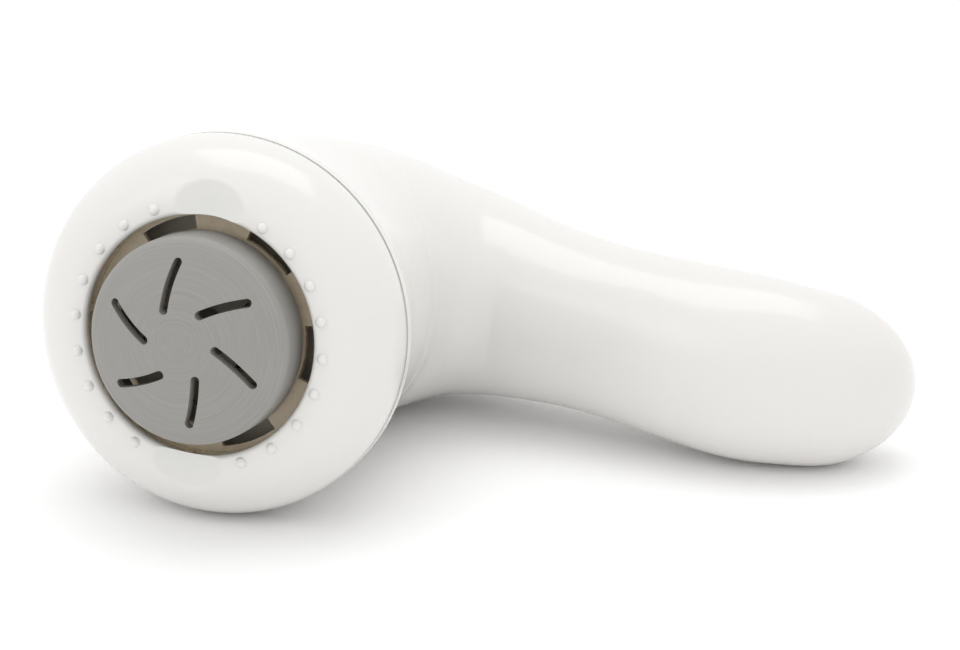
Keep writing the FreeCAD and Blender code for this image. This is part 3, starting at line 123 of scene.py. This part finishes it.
def finish_material(tree, principled, colour, roughness, bump_height, bump_distance, bump_strength=0.5):
    """Feeds the shader its colour and roughness, and a bump made from a height."""
    bump = add(tree, "ShaderNodeBump", {"Strength": bump_strength, "Distance": bump_distance,
                                        "Height": bump_height})
    tree.links.new(colour, principled.inputs["Base Color"])
    tree.links.new(roughness, principled.inputs["Roughness"])
    tree.links.new(bump.outputs[0], principled.inputs["Normal"])


def start_group(name, inputs, outputs):
    """An empty node group with the named sockets."""
    group = bpy.data.node_groups.new(name, "ShaderNodeTree")
    for label, kind, default in inputs:
        socket = group.interface.new_socket(label, in_out="INPUT", socket_type=kind)
        if default is not None:
            socket.default_value = default
    for label, kind in outputs:
        group.interface.new_socket(label, in_out="OUTPUT", socket_type=kind)
    return group, group.nodes.new("NodeGroupInput"), group.nodes.new("NodeGroupOutput")


COLOUR, NUMBER, VECTOR = "NodeSocketColor", "NodeSocketFloat", "NodeSocketVector"
print("helpers ready")

# %% [markdown]
# Every moulded part has the same three effects at different strengths: the colour drifts a little
# where the melt flowed, the gloss is uneven over a few millimetres, and a very fine grain breaks up
# reflections. One group makes all three, so each plastic only states its own values. The positions
# are Object coordinates in metres, so the grain has its real size on every piece.

# %% The moulded surface group


def moulded_group():
    group, given, made = start_group("moulded_surface", [
        ("Base", COLOUR, (0.8, 0.8, 0.8, 1)), ("Drift", COLOUR, (0.7, 0.7, 0.7, 1)),
        ("Flow scale", NUMBER, 40.0), ("Grain scale", NUMBER, 2500.0),
        ("Gloss low", NUMBER, 0.2), ("Gloss high", NUMBER, 0.35)],
        [("Color", COLOUR), ("Roughness", NUMBER), ("Height", NUMBER)])
    where = add(group, "ShaderNodeTexCoord").outputs["Object"]
    flow = add(group, "ShaderNodeTexNoise",
               {"Vector": where, "Scale": given.outputs["Flow scale"], "Detail": 4.0, "Distortion": 0.6})
    patch = add(group, "ShaderNodeTexNoise",
                {"Vector": where, "Scale": maths(group, "MULTIPLY", given.outputs["Flow scale"], 5.0),
                 "Detail": 3.0})
    grain = add(group, "ShaderNodeTexNoise",
                {"Vector": where, "Scale": given.outputs["Grain scale"], "Detail": 2.0})
    colour = add(group, "ShaderNodeMix",
                 {0: flow.outputs[0], 6: given.outputs["Base"], 7: given.outputs["Drift"]}, data_type="RGBA")
    uneven = maths(group, "ADD", maths(group, "MULTIPLY", patch.outputs[0], 0.7),
                   maths(group, "MULTIPLY", grain.outputs[0], 0.3))
    gloss = add(group, "ShaderNodeMapRange", {0: uneven, 1: 0.3, 2: 0.7, 3: given.outputs["Gloss low"],
                                             4: given.outputs["Gloss high"]})
    group.links.new(colour.outputs[2], made.inputs["Color"])
    group.links.new(gloss.outputs[0], made.inputs["Roughness"])
    group.links.new(grain.outputs[0], made.inputs["Height"])
    return group


moulded_surface = moulded_group()
print("group", moulded_surface.name, [s.name for s in moulded_surface.interface.items_tree])

# %% [markdown]
# A turned or spinning part carries marks that run round its axis. This group turns a position into
# three things such marks need: the distance from an axis, the distance along it, and the direction
# out from it. It is used for the disc and for the metal parts.

# %% The axis group


def axis_group():
    group, given, made = start_group("round_an_axis", [
        ("Centre", VECTOR, (0, 0, 0)), ("Axis", VECTOR, (0, 1, 0))],
        [("Radius", NUMBER), ("Along", NUMBER), ("Outward", VECTOR)])
    where = add(group, "ShaderNodeTexCoord").outputs["Object"]
    arm = add(group, "ShaderNodeVectorMath", {0: where, 1: given.outputs["Centre"]},
              operation="SUBTRACT").outputs[0]
    along = add(group, "ShaderNodeVectorMath", {0: arm, 1: given.outputs["Axis"]},
                operation="DOT_PRODUCT").outputs["Value"]
    lengthwise = add(group, "ShaderNodeVectorMath", {0: given.outputs["Axis"], "Scale": along},
                     operation="SCALE").outputs[0]
    outward = add(group, "ShaderNodeVectorMath", {0: arm, 1: lengthwise}, operation="SUBTRACT").outputs[0]
    radius = add(group, "ShaderNodeVectorMath", {0: outward}, operation="LENGTH").outputs["Value"]
    unit = add(group, "ShaderNodeVectorMath", {0: outward}, operation="NORMALIZE").outputs[0]
    group.links.new(radius, made.inputs["Radius"])
    group.links.new(along, made.inputs["Along"])
    group.links.new(unit, made.inputs["Outward"])
    return group


round_an_axis = axis_group()
print("group", round_an_axis.name)


def use_group(tree, group, **values):
    """Places a group in a material and fills its inputs."""
    node = tree.nodes.new("ShaderNodeGroup")
    node.node_tree = group
    for name, value in values.items():
        node.inputs[name.replace("_", " ")].default_value = value
    return node


# %% [markdown]
# Most pieces are one of a few plastics and rubbers. They differ in colour, gloss and grain, so a
# single function makes each of them from the moulded surface group. The outer shell is injection
# moulded in a warm white with a polished tool, so its grain is almost too shallow to see.

# %% Moulded plastics and rubbers


def moulded(name, base, drift, gloss, grain, grain_depth, flow=40.0, **shader):
    material, tree, principled = start_material(name, **shader)
    surface = use_group(tree, moulded_surface, Base=(*base, 1), Drift=(*drift, 1), Flow_scale=flow,
                        Grain_scale=grain, Gloss_low=gloss[0], Gloss_high=gloss[1])
    finish_material(tree, principled, surface.outputs["Color"], surface.outputs["Roughness"],
                    surface.outputs["Height"], grain_depth)
    return material


for plain in list(bpy.data.materials):
    bpy.data.materials.remove(plain)  # the frame's own flat colours give way to the finishes below
finishes = {
    "shell_white": moulded("shell_white", (0.735, 0.722, 0.70), (0.71, 0.697, 0.672), (0.16, 0.24), 900.0,
                           4e-6, flow=18.0, Coat_Weight=0.25, Coat_Roughness=0.08, Subsurface_Weight=0.06,
                           Subsurface_Scale=0.004),
    "button_white": moulded("button_white", (0.66, 0.65, 0.635), (0.62, 0.61, 0.59), (0.38, 0.5), 3200.0,
                            1.5e-5),
    "guard_amber": moulded("guard_amber", (0.68, 0.59, 0.45), (0.60, 0.50, 0.36), (0.2, 0.34), 1500.0, 6e-6,
                           flow=90.0, Subsurface_Weight=0.15, Subsurface_Scale=0.002),
    "seal_amber": moulded("seal_amber", (0.36, 0.24, 0.08), (0.28, 0.18, 0.06), (0.3, 0.42), 1500.0, 6e-6,
                          flow=120.0),
    "seal_grey": moulded("seal_grey", (0.20, 0.20, 0.185), (0.16, 0.16, 0.15), (0.5, 0.65), 4000.0, 2e-5,
                         flow=90.0),
    "inner_ivory": moulded("inner_ivory", (0.66, 0.61, 0.52), (0.58, 0.53, 0.44), (0.35, 0.5), 2600.0, 1.5e-5,
                           flow=90.0),
    "inner_plastic": moulded("inner_plastic", (0.075, 0.078, 0.085), (0.055, 0.057, 0.062), (0.42, 0.56),
                             2600.0, 2e-5),
    "gear_acetal": moulded("gear_acetal", (0.78, 0.76, 0.69), (0.72, 0.70, 0.62), (0.3, 0.42), 2400.0, 8e-6,
                           flow=120.0, Subsurface_Weight=0.2, Subsurface_Scale=0.002),
    "component_black": moulded("component_black", (0.018, 0.018, 0.02), (0.03, 0.03, 0.032), (0.35, 0.55),
                               5000.0, 1e-5, flow=200.0),
    "cell_wrap": moulded("cell_wrap", (0.03, 0.10, 0.26), (0.02, 0.07, 0.20), (0.18, 0.3), 700.0, 1e-5,
                         flow=60.0, Coat_Weight=0.4),
    "lead_red": moulded("lead_red", (0.42, 0.02, 0.015), (0.34, 0.015, 0.012), (0.32, 0.45), 3500.0, 1e-5,
                        flow=150.0),
    "lead_black": moulded("lead_black", (0.02, 0.02, 0.02), (0.032, 0.032, 0.033), (0.32, 0.45), 3500.0, 1e-5,
                          flow=150.0),
    "magnet": moulded("magnet", (0.045, 0.045, 0.05), (0.07, 0.068, 0.065), (0.5, 0.7), 3000.0, 4e-5,
                      flow=200.0),
}
print("plastics and rubbers", len(finishes))

# %% [markdown]
# The disc is a grey plastic that runs against the skin. Fine rings all round its middle are what
# gives it its look. A plain ring texture would be too regular, so a noise is stretched instead: it
# changes fast with the radius and only slowly round the turn, which gives broken arcs like those
# left by wear in use.

# %% The disc's finish


DISC_RINGS = ((6000.0, 2.2), (2500.0, 1.2))  # change per metre outwards, and change round the turn
DISC_DARK = (0.255, 0.248, 0.232, 1)
DISC_LIGHT = (0.305, 0.298, 0.28, 1)


def disc_finish():
    material, tree, principled = start_material("disc_grey", Specular_IOR_Level=0.4)
    round_head = use_group(tree, round_an_axis, Centre=head_centre, Axis=back_way)
    rings = []
    for ring_scale, turn_scale in DISC_RINGS:
        across = add(tree, "ShaderNodeCombineXYZ", {"X": maths(tree, "MULTIPLY", round_head.outputs["Radius"],
                                                               ring_scale)}).outputs[0]
        around = add(tree, "ShaderNodeVectorMath", {0: round_head.outputs["Outward"], "Scale": turn_scale},
                     operation="SCALE").outputs[0]
        place = add(tree, "ShaderNodeVectorMath", {0: across, 1: around}, operation="ADD").outputs[0]
        rings.append(add(tree, "ShaderNodeTexNoise", {"Vector": place, "Scale": 1.0, "Detail": 2.0}).outputs[0])
    streak = maths(tree, "ADD", maths(tree, "MULTIPLY", rings[0], 0.6), maths(tree, "MULTIPLY", rings[1], 0.4))
    ramp = add(tree, "ShaderNodeMapRange", {0: streak, 1: 0.32, 2: 0.68, 3: 0.0, 4: 1.0}).outputs[0]
    colour = add(tree, "ShaderNodeMix", {0: ramp, 6: DISC_DARK, 7: DISC_LIGHT}, data_type="RGBA")
    gloss = add(tree, "ShaderNodeMapRange", {0: streak, 1: 0.3, 2: 0.7, 3: 0.42, 4: 0.6}).outputs[0]
    finish_material(tree, principled, colour.outputs[2], gloss, streak, 2.5e-5, bump_strength=0.6)
    return material


finishes["disc_grey"] = disc_finish()
print("finish", finishes["disc_grey"].name)

# %% [markdown]
# Metal pieces are turned, pressed or drawn. Their marks run round the head's axis, so the same axis
# group serves: a noise that changes with the distance along the axis gives lathe rings on a shaft
# and faint drawing lines on the motor's can. Only colour and ring size differ between metals.

# %% Metals


def turned_metal(name, dark, light, gloss, ring_scale=1500.0):
    material, tree, principled = start_material(name, Metallic=1.0)
    round_head = use_group(tree, round_an_axis, Centre=head_centre, Axis=back_way)
    path = maths(tree, "ADD", round_head.outputs["Radius"], round_head.outputs["Along"])
    across = add(tree, "ShaderNodeCombineXYZ", {"X": maths(tree, "MULTIPLY", path, ring_scale)}).outputs[0]
    place = add(tree, "ShaderNodeVectorMath", {0: across, 1: round_head.outputs["Outward"]},
                operation="ADD").outputs[0]
    marks = add(tree, "ShaderNodeTexNoise", {"Vector": place, "Scale": 1.0, "Detail": 3.0}).outputs[0]
    where = add(tree, "ShaderNodeTexCoord").outputs["Object"]
    stain = add(tree, "ShaderNodeTexNoise", {"Vector": where, "Scale": 260.0, "Detail": 4.0}).outputs[0]
    both = maths(tree, "ADD", maths(tree, "MULTIPLY", marks, 0.5), maths(tree, "MULTIPLY", stain, 0.5))
    colour = add(tree, "ShaderNodeMix", {0: both, 6: (*dark, 1), 7: (*light, 1)}, data_type="RGBA")
    rough = add(tree, "ShaderNodeMapRange", {0: both, 1: 0.3, 2: 0.7, 3: gloss[0], 4: gloss[1]}).outputs[0]
    finish_material(tree, principled, colour.outputs[2], rough, marks, 8e-6)
    return material


finishes["steel"] = turned_metal("steel", (0.42, 0.43, 0.45), (0.62, 0.63, 0.65), (0.22, 0.38))
finishes["bush_bronze"] = turned_metal("bush_bronze", (0.46, 0.28, 0.12), (0.62, 0.42, 0.2), (0.35, 0.5))
finishes["copper"] = turned_metal("copper", (0.60, 0.28, 0.16), (0.80, 0.45, 0.30), (0.2, 0.36))
finishes["contact_metal"] = turned_metal("contact_metal", (0.72, 0.64, 0.46), (0.85, 0.78, 0.60),
                                         (0.12, 0.24), ring_scale=3000.0)
print("metals ready")

# %% [markdown]
# The circuit board is green with darker copper runs under the lacquer. The runs are cells of a
# Voronoi texture with square distance, which makes straight-sided patches like a ground plane
# broken by tracks.

# %% Board lacquer and the clear light pipe


def board_finish():
    material, tree, principled = start_material("board_green", Coat_Weight=0.5, Coat_Roughness=0.15)
    where = add(tree, "ShaderNodeTexCoord").outputs["Object"]
    tracks = add(tree, "ShaderNodeTexVoronoi", {"Vector": where, "Scale": 420.0},
                 distance="CHEBYCHEV").outputs[0]
    mask = add(tree, "ShaderNodeMapRange", {0: tracks, 1: 0.38, 2: 0.44}).outputs[0]
    colour = add(tree, "ShaderNodeMix", {0: mask, 6: (0.012, 0.11, 0.04, 1), 7: (0.02, 0.17, 0.065, 1)},
                 data_type="RGBA")
    rough = add(tree, "ShaderNodeMapRange", {0: tracks, 1: 0.0, 2: 0.8, 3: 0.28, 4: 0.42}).outputs[0]
    finish_material(tree, principled, colour.outputs[2], rough, mask, 3e-5)
    return material


finishes["board_green"] = board_finish()
finishes["light_clear"] = moulded("light_clear", (0.82, 0.85, 0.87), (0.76, 0.80, 0.83), (0.12, 0.22), 1800.0,
                                  5e-6, flow=150.0, Transmission_Weight=0.4, IOR=1.49)
print("finishes", len(finishes))

# %% [markdown]
# The record says which finish each engineering piece takes. Walking through it gives every piece its
# material, inside and out, so the model can be opened up and still look right.

# %% Give every engineering piece its finish


def dress(piece, finish):
    piece.data.materials.clear()
    piece.data.materials.append(finish)


for part in record["subparts"]:
    dress(nodes[part["node"]], finishes[part["material_slot"]])
print("dressed", len(record["subparts"]), "pieces")

# %% [markdown]
# The front cover is a ring with a quarter-round section, open in the middle for the disc. It could be
# a Spin of a curve, but the two finger scoops at its top and bottom need the surface to dip smoothly.
# So its mesh is worked out point by point: a section is carried round the axis, and wherever a round
# hollow lies deeper than the section, the point is pushed back to the hollow with a soft edge.

# %% Sizes of the front cover, in metres
head_radius = 36.9 * MM
opening_radius = 23.2 * MM
dome_depth = 14.2 * MM
rim_height = 1.5 * MM
seam_gap = 0.1 * MM
cover_wall = 2.0 * MM
lip_round = 1.0 * MM
edge_round = 0.2 * MM
scoop_ball = 16.0 * MM
scoop_reach = 6.9 * MM
scoop_depth = 1.5 * MM
cover_turn = math.radians(2.6)
crest_radius = opening_radius + lip_round
scoop_softness = 0.12 * MM
slices_round = 720
outer_steps = 44
lip_steps = 8
inner_steps = 20


def dome_level(radius):
    """Distance of the cover's surface ahead of the seam."""
    share = max(radius - crest_radius, 0.0) / (head_radius - crest_radius)
    return rim_height + (dome_depth - rim_height) * math.sqrt(max(1 - share * share, 0.0))


def quarter(across, rise, steps):
    """A quarter ellipse from the rim to the crest, without its last point."""
    turns = [math.pi / 2 * step / steps for step in range(steps)]
    return [(crest_radius + across * math.cos(t), -rim_height - rise * math.sin(t)) for t in turns]


def cover_section():
    """The closed section as (radius, y) points, from the seam over the crest and back inside."""
    rise = dome_depth - rim_height
    outer = quarter(head_radius - crest_radius, rise, outer_steps)
    lip = [(crest_radius - lip_round * math.sin(t), -dome_depth + lip_round * (1 - math.cos(t)))
           for t in (math.pi / 2 * step / lip_steps for step in range(lip_steps + 1))]
    inner = quarter(head_radius - cover_wall - crest_radius, rise - cover_wall, inner_steps)
    inner_crest = (crest_radius, -dome_depth + cover_wall)
    rim = [(head_radius - edge_round, -seam_gap), (head_radius - edge_round * 0.3, -seam_gap - edge_round * 0.3),
           (head_radius, -seam_gap - edge_round)]
    hole = [(opening_radius, -dome_depth + cover_wall - edge_round),
            (opening_radius + edge_round, -dome_depth + cover_wall)]
    return rim + outer + lip + hole + [inner_crest] + inner[::-1] + [(head_radius - cover_wall, -seam_gap)]


section = cover_section()
print("points in the section", len(section))

# %% [markdown]
# The hollow is part of a large ball. Two places on the section fix it: the deepened edge of the
# opening and the far end of the scoop. A smooth maximum joins hollow and dome, which rounds the rim
# of the scoop by a tenth of a millimetre or so, like a real mould.

# %% Build the front cover


def ball_centre():
    """Centre (radius, y) of the ball that cuts a scoop."""
    near = Vector((opening_radius, -dome_depth + scoop_depth))
    far_radius = opening_radius + scoop_reach
    far = Vector((far_radius, -dome_level(far_radius)))
    middle = (near + far) / 2
    along = far - near
    rise = math.sqrt(scoop_ball ** 2 - (along.length / 2) ** 2)
    return middle + Vector((along.y, -along.x)).normalized() * rise


def scooped(x, y, z, centres, softness):
    """Pushes a point back to the nearest ball where the ball lies deeper."""
    for centre in centres:
        reach = scoop_ball ** 2 - (x - centre.x) ** 2 - (z - centre.z) ** 2
        if reach > 0:
            hollow = centre.y + math.sqrt(reach)
            step = math.hypot(y - hollow, softness)
            y = (y + hollow + step) / 2 if hollow > y - 6 * softness else y
    return y


def ring_mesh(name, outline, slices, shape):
    """Carries a closed section round the device's axis into a closed mesh."""
    mesh = bpy.data.meshes.new(name)
    points = []
    for index in range(slices):
        turn = 2 * math.pi * index / slices
        for radius, y in outline:
            x, z = radius * math.cos(turn), radius * math.sin(turn)
            points.append(device @ Vector((x, shape(x, y, z), z)))
    count = len(outline)
    faces = []
    for index in range(slices):
        this, following = index * count, (index + 1) % slices * count
        for place in range(count):
            after = (place + 1) % count
            faces.append((this + place, following + place, following + after, this + after))
    mesh.from_pydata(points, [], faces)
    work = bmesh.new()
    work.from_mesh(mesh)
    bmesh.ops.recalc_face_normals(work, faces=work.faces)
    work.to_mesh(mesh)
    work.free()
    mesh.shade_smooth()
    return mesh


def place_piece(mesh, finish, body, stands_for=()):
    """Makes an object of a mesh, gives it a finish and lets it ride on a body."""
    piece = bpy.data.objects.new(mesh.name, mesh)
    bpy.context.scene.collection.objects.link(piece)
    dress(piece, finish)
    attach(piece, body)
    if stands_for:
        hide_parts(*stands_for)


ball_at = ball_centre()
scoop_centres = [Vector((ball_at.x * math.cos(t), ball_at.y, ball_at.x * math.sin(t)))
                 for t in (math.pi / 2 + cover_turn, -math.pi / 2 + cover_turn)]


def dipped(x, y, z):
    """Lets the scoops shape the dome, and leaves the straight rim alone."""
    return scooped(x, y, z, scoop_centres, scoop_softness) if y < -rim_height else y


cover_mesh = ring_mesh("cover_shell", section, slices_round, dipped)
place_piece(cover_mesh, finishes["shell_white"], "cover", ["front_cover"])
print("cover faces", len(cover_mesh.polygons))

# %% [markdown]
# Two rows of small nubs stand on the cover beside the opening. They follow a rule, nine to a row at
# an even pitch, so Geometry Nodes lay them out. A line of points is bent onto the ring by a formula
# on each point's index, and a small round nub is placed on every point. The sizes are named inputs
# of the tree, so the same tree would serve a cover with more nubs or a wider ring.

# %% The nub rows as a Geometry Nodes tree


def nub_tree():
    tree = bpy.data.node_groups.new("nub_rows", "GeometryNodeTree")
    for label, kind in (("Nubs per row", "NodeSocketInt"), ("Pitch", "NodeSocketFloat"),
                        ("Turn", "NodeSocketFloat"), ("Ring radius", "NodeSocketFloat"),
                        ("Level", "NodeSocketFloat"), ("Nub radius", "NodeSocketFloat"),
                        ("Finish", "NodeSocketMaterial")):
        tree.interface.new_socket(label, in_out="INPUT", socket_type=kind)
    tree.interface.new_socket("Geometry", in_out="OUTPUT", socket_type="NodeSocketGeometry")
    given = tree.nodes.new("NodeGroupInput").outputs
    made = tree.nodes.new("NodeGroupOutput")
    total = maths(tree, "MULTIPLY", given["Nubs per row"], 2.0)
    line = add(tree, "GeometryNodeMeshLine", {"Count": total})
    index = add(tree, "GeometryNodeInputIndex").outputs[0]
    row = maths(tree, "FLOOR", maths(tree, "DIVIDE", index, given["Nubs per row"]))
    place = maths(tree, "SUBTRACT", index, maths(tree, "MULTIPLY", row, given["Nubs per row"]))
    half = maths(tree, "DIVIDE", maths(tree, "SUBTRACT", given["Nubs per row"], 1.0), 2.0)
    spread = maths(tree, "MULTIPLY", maths(tree, "SUBTRACT", place, half), given["Pitch"])
    turned = maths(tree, "ADD", spread, given["Turn"])
    angle = maths(tree, "ADD", turned, maths(tree, "MULTIPLY", row, math.pi))
    across = maths(tree, "MULTIPLY", maths(tree, "COSINE", angle), given["Ring radius"])
    upward = maths(tree, "MULTIPLY", maths(tree, "SINE", angle), given["Ring radius"])
    at = add(tree, "ShaderNodeCombineXYZ", {"X": across, "Y": given["Level"], "Z": upward}).outputs[0]
    bent = add(tree, "GeometryNodeSetPosition", {"Geometry": line.outputs[0], "Position": at}).outputs[0]
    nub = add(tree, "GeometryNodeMeshUVSphere", {"Segments": 28, "Rings": 18, "Radius": given["Nub radius"]})
    smooth = add(tree, "GeometryNodeSetShadeSmooth", {"Geometry": nub.outputs[0]}).outputs[0]
    copies = add(tree, "GeometryNodeInstanceOnPoints", {"Points": bent, "Instance": smooth}).outputs[0]
    real = add(tree, "GeometryNodeRealizeInstances", {"Geometry": copies}).outputs[0]
    finished = add(tree, "GeometryNodeSetMaterial", {"Geometry": real, "Material": given["Finish"]}).outputs[0]
    tree.links.new(finished, made.inputs["Geometry"])
    return tree


def grown(name, tree, **values):
    """Runs a Geometry Nodes tree once and returns the plain mesh it makes, in the row frame."""
    holder = bpy.data.objects.new(name + "_holder", bpy.data.meshes.new(name + "_base"))
    bpy.context.scene.collection.objects.link(holder)
    modifier = holder.modifiers.new("grow", "NODES")
    modifier.node_group = tree
    for item in tree.interface.items_tree:
        label = item.name.replace(" ", "_")
        if item.in_out == "INPUT" and label in values:
            modifier[item.identifier] = values[label]
    evaluated = holder.evaluated_get(bpy.context.evaluated_depsgraph_get())
    mesh = bpy.data.meshes.new_from_object(evaluated)
    mesh.name = name
    bpy.data.objects.remove(holder)
    mesh.transform(device)
    return mesh


nub_radius = 1.15 * MM
nub_rise = 0.8 * MM
nub_ring = opening_radius + 2.0 * MM
nubs_per_row = 9
nub_pitch = math.radians(16.06)
nub_mesh = grown("cover_nubs", nub_tree(), Nubs_per_row=nubs_per_row, Pitch=nub_pitch, Turn=cover_turn,
                 Ring_radius=nub_ring, Level=-dome_level(nub_ring) + nub_radius - nub_rise,
                 Nub_radius=nub_radius, Finish=finishes["shell_white"])
place_piece(nub_mesh, finishes["shell_white"], "cover")
print("nub faces", len(nub_mesh.polygons))

# %% [markdown]
# The device is shown in a bright studio on white paper. A floor plane catches the soft shadow, and
# a white world gives the even light of a light tent. A wide soft box overhead and to the back makes
# the long highlight on the neck, and a weaker one in front keeps the face of the head readable.

# %% Floor, light and world


FLOOR_HALF = 4.0  # metres
TENT_STRENGTH = 1.06
OVERHEAD_WATTS = 1.5
FRONT_WATTS = 0.4


def studio_floor():
    mesh = bpy.data.meshes.new("floor")
    half = FLOOR_HALF
    corners = [(-half, -half, 0), (half, -half, 0), (half, half, 0), (-half, half, 0)]
    mesh.from_pydata(corners, [], [(0, 1, 2, 3)])
    floor = bpy.data.objects.new("floor", mesh)
    bpy.context.scene.collection.objects.link(floor)
    material, tree, principled = start_material("paper_white", Specular_IOR_Level=0.0)
    where = add(tree, "ShaderNodeTexCoord").outputs["Object"]
    fibre = add(tree, "ShaderNodeTexNoise", {"Vector": where, "Scale": 300.0, "Detail": 4.0}).outputs[0]
    tone = add(tree, "ShaderNodeMix", {0: fibre, 6: (0.93, 0.93, 0.93, 1), 7: (0.95, 0.95, 0.95, 1)},
               data_type="RGBA").outputs[2]
    rough = add(tree, "ShaderNodeMapRange", {0: fibre, 3: 0.85, 4: 1.0}).outputs[0]
    tree.links.new(tone, principled.inputs["Base Color"])
    tree.links.new(rough, principled.inputs["Roughness"])
    floor.data.materials.append(material)


def soft_box(name, place, target, size, power):
    lamp = bpy.data.lights.new(name, "AREA")
    lamp.shape = "RECTANGLE"
    lamp.size, lamp.size_y = size
    lamp.energy = power
    box = bpy.data.objects.new(name, lamp)
    box.location = place
    box.rotation_mode = "QUATERNION"
    box.rotation_quaternion = (Vector(target) - Vector(place)).to_track_quat("-Z", "Y")
    bpy.context.scene.collection.objects.link(box)


studio_floor()
world = bpy.data.worlds.new("light_tent")
bpy.context.scene.world = world
world.use_nodes = True
world.node_tree.nodes["Background"].inputs["Color"].default_value = (1, 1, 1, 1)
world.node_tree.nodes["Background"].inputs["Strength"].default_value = TENT_STRENGTH
middle = (cad_box[0] + cad_box[1]) / 2
soft_box("overhead_box", middle + Vector((-0.05, 0.12, 0.75)), middle, (0.7, 0.5), OVERHEAD_WATTS)
soft_box("front_box", middle + Vector((-0.55, -0.75, 0.55)), middle, (0.5, 0.5), FRONT_WATTS)
bpy.context.scene.view_settings.view_transform = "Standard"
print("studio ready")

# %% [markdown]
# The camera looks at the head from its front right, a little above. It is a long lens from about
# two thirds of a metre, as product pictures are taken, so the near head isn't blown up against the
# grip. Its aim is a point beside the head's centre, level with the seam.

# %% Camera
view_turn = math.radians(19.3)
view_rise = math.radians(20.3)
lens_angle = math.radians(16.0)
distance = 657 * MM
across_view = Vector((math.cos(view_turn), math.sin(view_turn), 0))
level_reach = math.cos(view_rise)
towards_camera = Vector((math.sin(view_turn) * level_reach, -math.cos(view_turn) * level_reach,
                         math.sin(view_rise)))
aim_across = 48.8 * MM
aim_drop = 0.5 * MM
aim = head_centre + across_view * aim_across - Vector((0, 0, aim_drop))
camera_data = bpy.data.cameras.new("camera")
camera_data.sensor_width = 36
camera_data.lens = camera_data.sensor_width / 2 / math.tan(lens_angle / 2)
camera = bpy.data.objects.new("camera", camera_data)
camera.location = aim + towards_camera * distance
camera.rotation_mode = "QUATERNION"
camera.rotation_quaternion = (-towards_camera).to_track_quat("-Z", "Y")
bpy.context.scene.collection.objects.link(camera)
bpy.context.scene.camera = camera
print("lens", round(camera_data.lens, 1), "mm")
